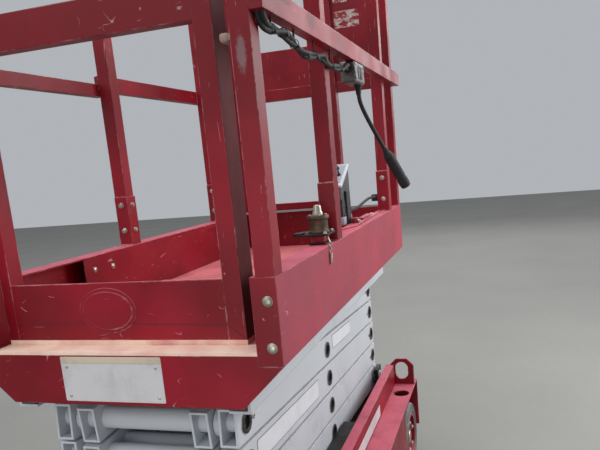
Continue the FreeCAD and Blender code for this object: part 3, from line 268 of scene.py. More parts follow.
def worn_colour(paint, colour, edges, grain, squeeze, wear):
    """Scuffs, scratches, rubbed edges and chips over a colour, with the masks of scratches and chips."""
    scuffs = paint.noise(9.0, 6.0, 0.75, paint.stretched(squeeze)).above(0.62, 0.78) * 0.28
    colour = paint.mix(scuffs, colour, DUST_AND_SHEEN_RED)
    lines = line_scratches(paint, 20.0, squeeze, (0.35, 0.2, 0.5))
    cross_lines = line_scratches(paint, 26.0, (squeeze[1], squeeze[0], squeeze[2]), (1.1, 0.4, 0.9))
    scratch = ((lines + cross_lines).clipped() * (0.5 * wear)).clipped()
    colour = paint.mix(scratch, colour, PRIMER)
    worn_length = paint.noise(11.0, 3.0, 0.6).above(0.46, 0.60) * 0.8 + 0.12
    rubbed = (edges * grain.above(0.36, 0.56) * worn_length * (0.9 * wear)).clipped()
    colour = paint.mix(rubbed, colour, PRIMER)
    chips = (paint.noise(48.0, 6.0, 0.7).above(0.71, 0.73) * wear).clipped()
    return paint.mix(chips, colour, BARE_STEEL), scratch, chips


def red_enamel(name, wear=1.0, dust=0.75, squeeze=(1.0, 1.0, 1.0), rubbed_places=(), shaded_half_width=0.0,
               painted_side_light=None):
    """Worn red paint. Squeeze draws the scratches out along the piece. The painted side light's tuple is a
    place along X, and the colour and share of the painted light on the faces beyond it: a pale colour for
    painted sheen, a dark one for painted shade."""
    paint = Finish(name)
    rounded = soft_edges(paint)
    edges = edge_mask(paint, rounded)
    grain = paint.noise(60.0, 5.0, 0.65)
    colour = paint.mix(paint.noise(3.5, 3.0).above(0.35, 0.65), DEEP_RED, RED)
    # Faces that look up turn pale pink: settled dust, and a painted sheen for the light from above
    up = facing_up(paint).above(0.55, 0.95)
    settled = (up * (paint.noise(14.0, 5.0, 0.6).above(0.2, 0.62) * 0.5 + 0.5) * dust).clipped()
    colour = paint.mix(settled, colour, DUST_AND_SHEEN_RED)
    colour, scratch, chips = worn_colour(paint, colour, edges, grain, squeeze, wear)
    for place, radii in rubbed_places:
        bare = bare_place(paint, place, radii)
        colour = paint.mix(bare * 0.7, colour, BARE_STEEL)
        chips = (chips + bare).clipped()
    # Painted shade: inside the chassis, between its rails, the red is darkened almost to black
    if shaded_half_width:
        inside = 1.0 - paint.place.along("X").absolute().above(shaded_half_width - 0.004, shaded_half_width)
        inside = inside * (1.0 - paint.place.along("Y").absolute().above(*SHADED_HALF_LENGTH))
        colour = paint.mix(inside * (0.82 + 0.12 * paint.noise(12.0)), colour, INSIDE_SHADE)
    # Painted light on the faces beyond a place along X, in the colour given: pale for a painted sheen, dark
    # for a painted shade. The same mask also roughens these faces.
    if painted_side_light:
        edge, side_light_colour, share = painted_side_light
        beyond = paint.place.along("X").above(edge - 0.0006, edge)
        side_light_mask = beyond * (paint.noise(6.0, 5.0, 0.6) * 0.6 + 0.7) * share
        colour = paint.mix(side_light_mask, colour, side_light_colour)
        settled = settled + side_light_mask
    rough = (0.36 + settled * 0.45 + chips * 0.25 + paint.noise(9.0).above(0.3, 0.7) * 0.12).clipped()
    height = grain * 0.25 + (1.0 - chips) * 0.6 - scratch * 0.3
    return paint.set(Base_Color=colour, Roughness=rough, Specular_IOR_Level=0.32,
                     Normal=paint.bump(height, 0.22, 0.0012, rounded))


# %% The red finishes
ALONG = (1.0, 0.12, 1.0)
UPRIGHT = (1.0, 1.0, 0.12)
RUBBED_POST = [((0.330, -0.714, 1.378), (0.010, 0.02, 0.036))]
RUBBED_RAIL = [((0.375, -0.435, 1.472), (0.02, 0.036, 0.022)),
               ((0.375, -0.600, 1.478), (0.02, 0.050, 0.009))]

red_long = red_enamel("red_enamel_along", squeeze=ALONG, rubbed_places=RUBBED_RAIL)
red_upright = red_enamel("red_enamel_upright", squeeze=UPRIGHT, rubbed_places=RUBBED_POST + RUBBED_RAIL)
# The toe boards' outer +X faces get a pale painted sheen, and the extension posts' +X faces a painted shade
red_board = red_enamel("red_enamel_board", squeeze=ALONG, painted_side_light=(0.3496, DUST_AND_SHEEN_RED, 0.34))
red_slider = red_enamel("red_enamel_slider", squeeze=UPRIGHT, painted_side_light=(0.2616, SHADED_RED, 0.85))
red_sheet = red_enamel("red_enamel_sheet", wear=0.85, squeeze=(0.5, 0.5, 1.0))
# The chassis gets painted shade inside, between its rails
red_chassis = red_enamel("red_enamel_chassis", wear=1.1, dust=0.6, squeeze=(1.0, 0.15, 0.6),
                         shaded_half_width=0.268)

# %% [markdown]
# ## A torn label
#
# Old pale film on the rear sheet is torn, and the red shows through. Cutting its ragged holes into the
# mesh would take thousands of faces, so one noise mask colours them and lowers them a little.

# %% Torn label
def peeling_label(name):
    """A pale label whose torn places show the red under it."""
    label = Finish(name)
    torn = label.noise(26.0, 6.0, 0.7, label.stretched((1.0, 1.0, 1.8))).above(0.47, 0.53)
    colour = label.mix(label.noise(60.0, 4.0).above(0.35, 0.7), rgb(206, 198, 192), rgb(172, 150, 142))
    return label.set(Base_Color=label.mix(torn, colour, RED), Roughness=0.45 + torn * 0.1,
                     Normal=label.bump(1.0 - torn, 0.2, 0.0006))


torn_label = peeling_label("torn_label")

# %% [markdown]
# ## Trodden deck
#
# The deck carries a sprayed grip coat in the same red. Boots have rubbed it to a pale pink, and its front
# ledge, where people step on, almost to the cream of its filler. The grit could be modelled, but at this
# size a fine noise in the bump shows the same sparkle.

# %% Deck coat
DECK_RED = rgb(176, 74, 84)
DECK_PINK = rgb(206, 112, 116)
DECK_RUBBED = rgb(246, 216, 196)
DECK_DIRT = rgb(92, 70, 66)
LEDGE_REAR = (-0.668, -0.655)


def deck_coat(name):
    coat = Finish(name)
    grit = coat.noise(420.0, 3.0, 0.7)
    paths = coat.noise(7.0, 5.0, 0.6)
    ledge = 1.0 - (coat.place.along("Y") + (paths - 0.5) * 0.03).above(*LEDGE_REAR)
    colour = coat.mix(paths.above(0.3, 0.62), DECK_RED, DECK_PINK)
    colour = coat.mix(ledge * (0.72 + 0.28 * coat.noise(16.0, 4.0).above(0.3, 0.6)), colour, DECK_RUBBED)
    colour = coat.mix(grit.above(0.62, 0.74) * 0.5, colour, DEEP_RED)
    dirt = coat.noise(3.2, 6.0, 0.65).above(0.58, 0.72)
    colour = coat.mix(dirt * 0.45, colour, DECK_DIRT)
    return coat.set(Base_Color=colour, Roughness=0.62 + grit * 0.25, Normal=coat.bump(grit, 0.5, 0.0015))


deck_grip = deck_coat("deck_grip_coat")

# %% [markdown]
# ## Grey arms
#
# The scissor arms are rectangular tubes in light grey paint. Grease from the pins and road dirt leave
# soft dark runs, and the sawn tube ends are rubbed brighter, so here the mask of edges lightens. The
# runs are a noise drawn out along the arms, which needs no painting on twenty tubes.

# %% Grey arm paint
ARM_GREY = rgb(212, 216, 221)
ARM_SHADE = rgb(184, 188, 194)
ARM_GRIME = rgb(104, 99, 94)
SAWN_EDGE = rgb(232, 234, 236)


def arm_paint(name):
    paint = Finish(name)
    rounded = soft_edges(paint)
    edges = edge_mask(paint, rounded)
    colour = paint.mix(paint.noise(4.0, 4.0), ARM_SHADE, ARM_GREY)
    runs = paint.noise(16.0, 5.0, 0.6, paint.stretched((1.0, 0.6, 0.5)))
    grime = runs.above(0.58, 0.80) * 0.32
    colour = paint.mix(grime, colour, ARM_GRIME)
    specks = paint.noise(130.0, 3.0, 0.7).above(0.68, 0.74) * 0.5
    colour = paint.mix(specks, colour, ARM_GRIME)
    return paint.set(Base_Color=paint.mix(edges * 0.55, colour, SAWN_EDGE), Roughness=0.42 + grime * 0.4,
                     Normal=paint.bump(paint.noise(70.0, 4.0), 0.12, 0.0008, rounded))


arm_grey = arm_paint("arm_grey_paint")

# %% [markdown]
# ## Metals
#
# The metals are zinc-plated hardware, dark oily iron, the polished cylinder rod, the latch's old brown
# casting and stamped steel. Each could be one flat colour, but that never looks like a used part, so
# each has a grain of its own scale and dull, soiled patches that are rougher.

# %% Metals
METAL_EDGE = 0.0012
OILY_DIRT = rgb(60, 50, 44)


def metal(name, light, dark, roughness, metallic=1.0, grain_scale=180.0, dirt=0.4, brushed=(1, 1, 1)):
    """A bare or plated metal with a fine grain and dull patches."""
    surface = Finish(name, metallic=metallic)
    rounded = soft_edges(surface, METAL_EDGE)
    patch = surface.noise(28.0, 5.0, 0.6)
    grain = surface.noise(grain_scale, 3.0, 0.6, surface.stretched(brushed))
    colour = surface.mix(patch.above(0.3, 0.7), light, dark)
    soiled = patch.above(0.55, 0.75) * dirt
    return surface.set(Base_Color=surface.mix(soiled, colour, OILY_DIRT),
                       Roughness=roughness + grain * 0.2 + soiled * 0.4,
                       Normal=surface.bump(grain, 0.15, 0.0004, rounded))


zinc = metal("zinc_plate", rgb(205, 200, 188), rgb(158, 152, 140), 0.28, dirt=0.35)
dark_iron = metal("dark_oily_iron", rgb(58, 56, 56), rgb(32, 31, 32), 0.45, metallic=0.7, dirt=0.5)
chrome = metal("chrome_rod", rgb(222, 224, 226), rgb(196, 199, 202), 0.08, dirt=0.05, brushed=(1, 40, 1))
old_casting = metal("old_brown_casting", rgb(112, 92, 76), rgb(52, 42, 36), 0.42, metallic=0.6, dirt=0.6)
box_steel = metal("stamped_box_steel", rgb(134, 132, 130), rgb(90, 88, 88), 0.40, dirt=0.6,
                  grain_scale=90.0)

# %% [markdown]
# ## Rubber, plastic and film
#
# Tyres, cords, cases, labels and pads are all moulded or rolled, so one function serves them: a fine
# grain in the bump and pale dust on top and in patches. A finish is a colour, its dusty colour, how rough
# it is, the scale of its grain, how deep the grain is and how dusty it is.

# %% Rubber and plastic
MOULDED_EDGE = 0.0015


def moulded(name, base, worn, roughness, grain_scale, strength=0.3, dust=0.35):
    """A moulded surface: fine texture, pale dust on top and in patches."""
    surface = Finish(name)
    rounded = soft_edges(surface, MOULDED_EDGE)
    grain = surface.noise(grain_scale, 3.0, 0.6)
    patch = surface.noise(11.0, 5.0, 0.65)
    up = facing_up(surface).above(0.4, 0.95)
    settled = (patch.above(0.42, 0.72) * dust + up * dust * 0.6).clipped()
    return surface.set(Base_Color=surface.mix(settled, base, worn),
                       Roughness=roughness + grain * 0.15 + settled * 0.15,
                       Normal=surface.bump(grain, strength, 0.0008, rounded))


tyre_rubber = moulded("grey_tyre_rubber", rgb(92, 92, 94), rgb(150, 146, 140), 0.72, 120.0, 0.45, 0.7)
black_rubber = moulded("black_rubber", rgb(24, 24, 25), rgb(74, 72, 70), 0.62, 240.0)
black_plastic = moulded("black_plastic", rgb(30, 30, 32), rgb(88, 86, 84), 0.46, 340.0)
battery_case = moulded("battery_case", rgb(40, 42, 50), rgb(96, 94, 92), 0.5, 260.0)
pale_label = moulded("blank_pale_plate", rgb(206, 204, 206), rgb(158, 146, 144), 0.42, 150.0, 0.1, 0.45)
white_label = moulded("blank_white_label", rgb(226, 228, 232), rgb(178, 174, 172), 0.35, 150.0, 0.05, 0.3)
beige_label = moulded("blank_beige_plate", rgb(206, 192, 168), rgb(150, 134, 118), 0.45, 150.0, 0.1, 0.5)
light_panel = moulded("light_switch_panel", rgb(214, 218, 224), rgb(176, 176, 178), 0.3, 300.0, 0.1, 0.3)
slate_panel = moulded("slate_switch_panel", rgb(150, 158, 172), rgb(196, 196, 198), 0.4, 300.0, 0.15, 0.4)
case_grey = moulded("case_grey", rgb(78, 76, 80), rgb(116, 112, 110), 0.5, 300.0, 0.2, 0.3)
stop_red = moulded("stop_button_red", rgb(190, 26, 22), rgb(214, 120, 110), 0.32, 200.0, 0.05, 0.15)
# Dark red painted shade for the lines of the front panel's creases
crease_shade_finish = moulded("painted_crease_shade", rgb(84, 14, 24), rgb(60, 16, 22), 0.5, 120.0, 0.1, 0.1)
nylon = moulded("worn_nylon", rgb(160, 132, 122), rgb(112, 92, 84), 0.55, 160.0, 0.4, 0.7)
grease = moulded("pin_grease", rgb(26, 25, 26), rgb(58, 54, 50), 0.35, 90.0, 0.6, 0.5)

# %% [markdown]
# ## Finishes on the CAD parts
#
# Each CAD part keeps its own mesh and gets a finish by name. Long rails take the paint whose scratches
# run along Y, posts the one that runs upwards, flat sheets the quieter one. One table does this, so that
# a part's finish can be looked up and changed in one place.

# %% Paint the CAD parts
FINISH_OF_NODES = [
    (red_long, ["side_rails", "guard_rails", "fender_plates", "extension_rails"]),
    (red_board, ["toe_boards"]),
    (red_slider, ["extension_posts"]),
    (red_upright, ["right_posts", "left_posts", "entry_gate", "rear_frame", "ladder"]),
    (red_sheet, ["front_apron", "extension_panel", "rear_bulkhead", "tray_cover_right", "tray_cover_left",
                 "tie_down_eyes"]),
    (red_chassis, ["chassis_frame", "side_trays", "pothole_guards"]),
    (deck_grip, ["platform_deck", "extension_deck"]),
    (dark_iron, ["knuckle_right", "knuckle_left", "deck_latch", "chassis_tracks"]),
    (zinc, ["board_bolts"]),
    (chrome, ["lift_cylinder_rod"]),
    (black_plastic, ["conduit", "control_box"]),
    (black_rubber, ["cord", "cord_connector"]),
    (box_steel, ["outlet_box"]),
    (battery_case, ["tray_loads"]),
]
FINISH_OF_FAMILIES = [
    (arm_grey, ("outer_arms", "inner_arms", "lift_cylinder_barrel", "platform_beams")),
    (tyre_rubber, ("tyre_",)),
    (red_chassis, ("rim_",)),
]
finishes = {node: finish for finish, nodes in FINISH_OF_NODES for node in nodes}
for node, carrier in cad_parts.items():
    for finish, starts in FINISH_OF_FAMILIES:
        if node.startswith(starts):
            finishes[node] = finish
    carrier.data.materials.clear()
    carrier.data.materials.append(finishes[node])
print("painted", len(finishes), "of", len(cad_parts), "CAD parts")

# %% [markdown]
# ## Making pieces
#
# New pieces are built with bmesh operators in a fresh bmesh each, then stored once as an object at the
# origin whose place is in its mesh, just as a CAD part's is. Moving whole objects into place would be
# quicker to write, but a pattern on Object coordinates would then slide. Each helper adds one simple
# form, is made where it is first needed, and a piece is several of them.

# %% Store a piece
SHARP_ANGLE = math.radians(35)


def store(mesh, name, body, finish, instead_of=()):
    """Turn a bmesh into an object at the origin that rides on a body and takes a slot's finish."""
    bmesh.ops.recalc_face_normals(mesh, faces=mesh.faces)
    data = bpy.data.meshes.new(name)
    mesh.to_mesh(data)
    mesh.free()
    data.materials.append(finish)
    data.shade_smooth()
    data.set_sharp_from_angle(angle=SHARP_ANGLE)
    made = bpy.data.objects.new(name, data)
    bpy.context.scene.collection.objects.link(made)
    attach(made, body)
    if instead_of:
        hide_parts(*instead_of)
    print("%-27s on %-18s %5d faces" % (name, body, len(data.polygons)))
    return made


# %% Turned forms
X, Y, Z = Vector((1, 0, 0)), Vector((0, 1, 0)), Vector((0, 0, 1))


def new_points(mesh, before):
    return [v for v in mesh.verts if v not in before]


def turned_to(direction, place):
    """The transform that carries +Z to a direction and the origin to a place."""
    turn = Z.rotation_difference(Vector(direction))
    return Matrix.Translation(Vector(place)) @ turn.to_matrix().to_4x4()


def add_turned(mesh, outline, place, direction, steps=28):
    """A closed turned form: outline points are (radius, height along the direction)."""
    before = set(mesh.verts)
    points = [mesh.verts.new((radius, 0.0, height)) for radius, height in outline]
    edges = [mesh.edges.new(pair) for pair in zip(points, points[1:])]
    bmesh.ops.spin(mesh, geom=points + edges, cent=(0, 0, 0), axis=(0, 0, 1), angle=math.tau, steps=steps,
                   use_merge=True)
    bmesh.ops.remove_doubles(mesh, verts=new_points(mesh, before), dist=1e-6)
    bmesh.ops.transform(mesh, matrix=turned_to(direction, place), verts=new_points(mesh, before))


# %% [markdown]
# ## The free cord
#
# A short black lead hangs out of the outlet box and ends in a long round connector. It is seen from end
# to end, about 0.19 m of cord, and it has taken a set, so it stands a little away from the rail. A cord
# could be simulated, but this one is short and stiff and its line is known, so a NURBS curve of order 3
# through the points of the CAD route gives it a smooth run at its real length.

# %% A curve with thickness
def soft_tube(name, radius, strands, kind="NURBS", roundness=4, fineness=12):
    """A round black tube along the points of each strand."""
    curve = bpy.data.curves.new(name, "CURVE")
    curve.dimensions = "3D"
    curve.bevel_depth = radius
    curve.bevel_resolution = roundness
    curve.resolution_u = fineness
    curve.use_fill_caps = True
    for points in strands:
        strand = curve.splines.new(kind)
        strand.points.add(len(points) - 1)
        for control, point in zip(strand.points, points):
            control.co = (*point, 1)
        if kind == "NURBS":
            strand.order_u = 3
            strand.use_endpoint_u = True
    curve.materials.append(black_rubber)
    tube = bpy.data.objects.new(name, curve)
    bpy.context.scene.collection.objects.link(tube)
    print(name, "has", len(strands), "strand(s) of", len(strands[0]), "points")
    return tube


# %% Cord
CORD_EXIT = Vector((0.360, 0.047, 1.378))
CORD_STEPS_MM = [(0, 0, 0), (0, 0, -24), (6, 8, -50), (17, 22, -82), (30, 39, -116), (42, 55, -146),
                 (51, 67, -168)]
CORD_RADIUS = 0.006

cord_points = [CORD_EXIT + Vector(step) / 1000 for step in CORD_STEPS_MM]
free_cord = soft_tube("free_cord", CORD_RADIUS, [cord_points], roundness=6, fineness=24)
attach(free_cord, "platform")
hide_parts("cord")

# %% Connector
CONNECTOR_LENGTH = 0.137
GRIP_START, GRIP_PITCH, GRIP_RINGS = 0.034, 0.011, 6

barrel = [(0, 0), (0.0070, 0), (0.0085, 0.004), (0.0085, 0.010), (0.0125, 0.018), (0.0150, 0.026),
          (0.0158, 0.030)]
for k in range(GRIP_RINGS):
    start = GRIP_START + GRIP_PITCH * k
    barrel += [(0.0148, start), (0.0148, start + 0.003), (0.0158, start + 0.0045), (0.0158, start + 0.0095)]
barrel += [(0.0142, 0.103), (0.0142, 0.108), (0.0160, 0.110), (0.0160, 0.128), (0.0148, 0.133),
           (0.0148, CONNECTOR_LENGTH), (0.0105, CONNECTOR_LENGTH), (0.0105, 0.118), (0, 0.118)]
plug_axis = (cord_points[-1] - cord_points[-2]).normalized()
connector = bmesh.new()
add_turned(connector, barrel, cord_points[-1] - plug_axis * 0.001, plug_axis, 32)
cord_plug = store(connector, "cord_plug", "platform", black_rubber,
                  instead_of=["cord_connector"])

# %% [markdown]
# ## The outlet box
#
# It is a stamped steel box screwed under the middle rail: a body, a raised cover with two blank socket
# faces, four screws, a threaded gland with a ribbed nut at the front, and a tapered relief below. A box
# with rounded edges and turned forms are enough, because stamped and turned parts are what they are.

# %% Blocks, caps and rings
def edges_of(points):
    return list({e for v in points for e in v.link_edges})


def round_edges(mesh, edges, radius, segments=2):
    bmesh.ops.bevel(mesh, geom=edges, offset=radius, segments=segments, profile=0.5, affect="EDGES",
                    material=-1)


def add_cube_between(mesh, low, high):
    """A sharp block between two corners."""
    low, high = Vector(low), Vector(high)
    made = bmesh.ops.create_cube(mesh, size=1.0)["verts"]
    bmesh.ops.scale(mesh, vec=high - low, verts=made)
    bmesh.ops.translate(mesh, vec=(low + high) / 2, verts=made)
    return made


def add_block(mesh, low, high, rounding, segments=2):
    """A block between two corners with rounded edges."""
    round_edges(mesh, edges_of(add_cube_between(mesh, low, high)), rounding, segments)


def add_cap(mesh, place, direction, rim, top, foot=0.0, steps=20):
    """A low round head: rim and top are (radius, height) of its wall and of its chamfer's end."""
    add_turned(mesh, [(0, foot), (rim[0], foot), rim, top, (0, top[1])], place, direction, steps)


def add_ring(mesh, place, direction, inner, outer, half_height, steps):
    add_turned(mesh, [(inner, -half_height), (outer, -half_height), (outer, half_height),
                      (inner, half_height), (inner, -half_height)], place, direction, steps)


def on_circle(count, radius, start=0.0):
    """The cosine and sine places of things set evenly round a circle."""
    turns = [math.tau * k / count + start for k in range(count)]
    return [(radius * math.cos(turn), radius * math.sin(turn)) for turn in turns]


# %% Outlet case
BOX_IN, BOX_OUT = 0.334, 0.376
BOX_FRONT, BOX_REAR = -0.045, 0.070
BOX_LOW, BOX_HIGH = 1.390, 1.444
COVER_FACE = BOX_OUT - 0.0012
GLAND_AT = Vector((0.3585, BOX_FRONT, 1.4255))

case = bmesh.new()
add_block(case, (BOX_IN, BOX_FRONT, BOX_LOW), (BOX_OUT - 0.003, BOX_REAR, BOX_HIGH), 0.004, 3)
add_block(case, (BOX_OUT - 0.0045, BOX_FRONT + 0.003, BOX_LOW + 0.003),
          (COVER_FACE, BOX_REAR - 0.003, BOX_HIGH - 0.002), 0.0012)
for y in (BOX_FRONT + 0.008, BOX_REAR - 0.008):
    for z in (BOX_LOW + 0.009, BOX_HIGH - 0.009):
        add_cap(case, (COVER_FACE, y, z), X, (0.0034, 0.0008), (0.002, 0.0012), steps=14)
for x in (0.346, 0.362):
    add_cap(case, (x, BOX_FRONT - 0.0002, 1.404), -Y, (0.007, 0.0006), (0.0055, 0.0008))
add_cap(case, GLAND_AT, -Y, (0.0172, 0.0045), (0.0158, 0.0055), steps=30)
store(case, "outlet_case", "platform", box_steel, instead_of=["outlet_box"])

faces = bmesh.new()
for y in (0.000, 0.030):
    add_block(faces, (BOX_OUT - 0.0016, y - 0.012, 1.4005), (BOX_OUT - 0.0002, y + 0.012, 1.4335), 0.0006)
store(faces, "outlet_blank_faces", "platform", black_plastic)

# %% Gland and cord relief
RIB_HALF = Vector((0.0008, 0.0018, 0.0008))

gland = bmesh.new()
add_turned(gland, [(0, 0.004), (0.0118, 0.004), (0.0118, 0.0105), (0.0134, 0.0110), (0.0134, 0.0152),
                   (0.010, 0.0160), (0, 0.0160)], GLAND_AT, -Y, 30)
for x, z in on_circle(18, 0.0136):
    at = GLAND_AT + Vector((x, -0.0130, z))
    add_block(gland, at - RIB_HALF, at + RIB_HALF, 0.0003, 1)
store(gland, "conduit_gland", "platform", dark_iron)

relief_outline = [(0, 0), (0.0118, 0), (0.0118, 0.003), (0.0098, 0.0045), (0.0098, 0.009)]
for k in range(4):
    shrink, rise = 0.0004 * k, 0.0036 * k
    relief_outline += [(0.0086 - shrink, 0.0095 + rise), (0.0086 - shrink, 0.0120 + rise),
                       (0.0076 - 0.0003 * k, 0.0124 + rise)]
relief_outline += [(0.0068, 0.026), (0, 0.026)]
relief = bmesh.new()
add_turned(relief, relief_outline, (CORD_EXIT.x, CORD_EXIT.y, BOX_LOW + 0.0005), -Z, 26)
store(relief, "cord_relief", "platform", black_rubber)

# %% [markdown]
# ## The conduit
#
# The conduit under the middle rail is two black leads twisted round each other. It follows the CAD
# route, leaves the hollow rail at its front end and is tied up along its way. Each tie is a thin band
# with a small square lock and a cut tail, and where the leads rise, a strap carries it from the rail.
# The twist could be a modifier, but winding two lines of points round the route keeps its ends exact.

# %% Twisted leads
CONDUIT_MM = [(360, -692, 1446), (360, -686, 1435), (360, -675, 1427), (360, -650, 1424), (360, -575, 1428),
              (360, -445, 1408), (360, -335, 1418), (360, -245, 1410), (360, -150, 1413), (360, -91, 1425),
              (360, -60, 1425.5), (360, -50, 1425.5)]
LEAD_RADIUS, LEAD_OFFSET, TWIST_LENGTH = 0.0049, 0.0045, 0.24


def smooth_route(points, steps):
    """A smooth curve through points, as a list that is close enough for a twist."""
    padded = [points[0]] + points + [points[-1]]
    made = []
    for k in range(1, len(padded) - 2):
        p0, p1, p2, p3 = padded[k - 1:k + 3]
        for step in range(steps):
            t = step / steps
            made.append(0.5 * ((2 * p1) + (p2 - p0) * t + (2 * p0 - 5 * p1 + 4 * p2 - p3) * t ** 2
                               + (3 * p1 - p0 - 3 * p2 + p3) * t ** 3))
    return made + [points[-1]]


def wound(line, start_turn):
    """The points of a lead that winds round a line."""
    lead, travelled = [], 0.0
    for k, point in enumerate(line):
        last, following = line[max(k - 1, 0)], line[min(k + 1, len(line) - 1)]
        travelled += (point - last).length
        turn = start_turn + math.tau * travelled / TWIST_LENGTH
        upright = X.cross((following - last).normalized())
        lead.append(point + (X * math.cos(turn) + upright * math.sin(turn)) * LEAD_OFFSET)
    return lead


middle_line = smooth_route([Vector(point) / 1000 for point in CONDUIT_MM], 12)
leads = [wound(middle_line, 0.0), wound(middle_line, math.pi)]
conduit_leads = soft_tube("conduit_leads", LEAD_RADIUS, leads, kind="POLY")
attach(conduit_leads, "platform")
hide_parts("conduit")

# %% Ties
MID_LOW, MID_HIGH = 1.444, 1.487
TIED_AT = (-0.640, -0.575, -0.510, -0.445, -0.380, -0.315, -0.245, -0.165)
HUNG_AT = (-0.640, -0.510, -0.380, -0.245, -0.165)


def add_rod(mesh, start, end, radius, end_radius=None, sides=20, rounding=0.0):
    """A round rod from start to end, tapered if it gets an end radius."""
    start, end = Vector(start), Vector(end)
    before = set(mesh.verts)
    bmesh.ops.create_cone(mesh, cap_ends=True, segments=sides, radius1=radius,
                          radius2=radius if end_radius is None else end_radius, depth=(end - start).length)
    if rounding:
        rims = [e for e in edges_of(new_points(mesh, before))
                if abs(e.verts[0].co.z - e.verts[1].co.z) < 1e-7]
        round_edges(mesh, rims, rounding)
    bmesh.ops.transform(mesh, matrix=turned_to(end - start, (start + end) / 2),
                        verts=new_points(mesh, before))


ties = bmesh.new()
for y in TIED_AT:
    at = min(middle_line, key=lambda point: abs(point.y - y))
    add_ring(ties, at, Y, 0.0084, 0.0097, 0.0014, 24)
    add_block(ties, at + Vector((0.0070, -0.0024, -0.0082)), at + Vector((0.0110, 0.0024, -0.0036)), 0.0008)
    add_rod(ties, at + Vector((0.0090, 0, -0.0068)), at + Vector((0.0120, 0.004, -0.0150)), 0.0008, sides=8)
    if y in HUNG_AT:
        add_block(ties, at + Vector((-0.0020, -0.0008, 0.0085)),
                  (at.x + 0.0020, at.y + 0.0008, MID_LOW + 0.0002), 0.0003)
store(ties, "conduit_ties", "platform", black_plastic)

# %% [markdown]
# ## Bolts of the guardrail
#
# The posts stand in short sockets that are bolted through. Two round heads hold each toe board from
# inside, and two sit on each front flange. A bolt painted on as a picture would stay flat in raking
# light, so each is turned or bevelled from a few dozen faces, and loops set them at every joint.

# %% Bolt heads
HEXAGON_FLATS_TO_CORNERS = 1.732


def add_hex(mesh, place, direction, across, height):
    """A hexagon head with a chamfered top."""
    before = set(mesh.verts)
    corner = across / HEXAGON_FLATS_TO_CORNERS
    bmesh.ops.create_cone(mesh, cap_ends=True, segments=6, radius1=corner, radius2=corner, depth=height)
    top = list({e for v in new_points(mesh, before) if v.co.z > 0
                for e in v.link_edges if e.other_vert(v).co.z > 0})
    round_edges(mesh, top, height * 0.22, 1)
    bmesh.ops.translate(mesh, vec=(0, 0, height / 2), verts=new_points(mesh, before))
    bmesh.ops.transform(mesh, matrix=turned_to(direction, place), verts=new_points(mesh, before))


def add_hex_bolt(mesh, place, direction, size):
    """A washer under a hexagon head, as a bolt through sheet shows."""
    place, direction = Vector(place), Vector(direction).normalized()
    add_cap(mesh, place, direction, (size, 0.0012), (size * 0.9, 0.0018), foot=-0.001)
    add_hex(mesh, place + direction * 0.0016, direction, size * 1.45, size * 0.62)


def add_dome_bolt(mesh, place, direction, radius):
    """A round carriage-bolt head."""
    turns = [math.pi / 2 * k / 6 for k in range(6)]
    arc = [(radius * math.cos(turn), radius * 0.52 * math.sin(turn)) for turn in turns]
    add_turned(mesh, [(0, -0.001), (radius, -0.001)] + arc + [(0, radius * 0.52)], place, direction, 24)


# %% Bolts on posts, walls and flanges
BOARD_FRONT = -0.715
TOE_TOP = 1.000
SOCKET_X, SOCKET_HALF = 0.330, 0.0221
RIGHT_POSTS = (-0.243, 0.500)
LEFT_POSTS = (-0.108, 0.500)

fixings = bmesh.new()
for side, posts in ((1, RIGHT_POSTS[1:]), (-1, LEFT_POSTS)):
    for y in posts:
        for z in (TOE_TOP + 0.042, TOE_TOP + 0.116):
            add_hex_bolt(fixings, (side * SOCKET_X, y - SOCKET_HALF, z), -Y, 0.0085)
            add_hex_bolt(fixings, (side * SOCKET_X, y + SOCKET_HALF, z), Y, 0.0085)
            if y < 0:
                add_hex_bolt(fixings, (side * 0.3089, y, z), -X * side, 0.0075)
for y, z in ((-0.335, 0.963), (-0.255, 0.959)):
    add_dome_bolt(fixings, (-0.2998, y, z), X, 0.0085)
    add_dome_bolt(fixings, (0.2998, y, z), -X, 0.0085)
store(fixings, "post_and_wall_bolts", "platform", zinc)

FLANGE_BOLT = [(0, -0.001), (0.0102, -0.001), (0.0102, 0.0006), (0.0098, 0.0010), (0.0088, 0.0011),
               (0.0082, 0.0028), (0.0062, 0.0040), (0.0034, 0.0046), (0, 0.0047)]
flange_bolts = bmesh.new()
for side in (1, -1):
    for z in (0.956, 0.869):
        add_turned(flange_bolts, FLANGE_BOLT, (side * 0.331, BOARD_FRONT, z), -Y, 26)
store(flange_bolts, "flange_bolts", "platform", zinc, instead_of=["board_bolts"])

# %% [markdown]
# ## Weld beads of the guardrail
#
# Rails are welded to posts, and posts to their sockets and to the toe boards. A bead catches a line of
# light at each joint, so it is worth real form. It could be a displaced tube, but a turned rod whose
# radius ripples gives the same look with few faces.

# %% Beads
RAIL_TOP = 1.960
POST_IN, POST_OUT = 0.312, 0.350
TUBE, HALF_TUBE = 0.038, 0.019
SOCKET_TOP = 1.140
END_POSTS = (-0.695, 0.688)
RAIL_LOW = RAIL_TOP - TUBE


def add_bead(mesh, start, end, radius, pitch=0.006):
    """A weld bead between two points: a thin rod whose radius ripples."""
    start, end = Vector(start), Vector(end)
    length = (end - start).length
    count = max(4, int(length / pitch) * 2)
    outline = [(0.0, 0.0)]
    for k in range(count + 1):
        ripple = 0.82 + 0.18 * (k % 2)
        outline.append((radius * ripple * (0.6 if k in (0, count) else 1.0), length * k / count))
    outline.append((0.0, length))
    add_turned(mesh, outline, start, end - start, 8)


def bead_across(mesh, side, y, z, radius, inner=POST_IN, outer=POST_OUT):
    """A bead along X, as wide as a post."""
    add_bead(mesh, (side * inner, y, z), (side * outer, y, z), radius)


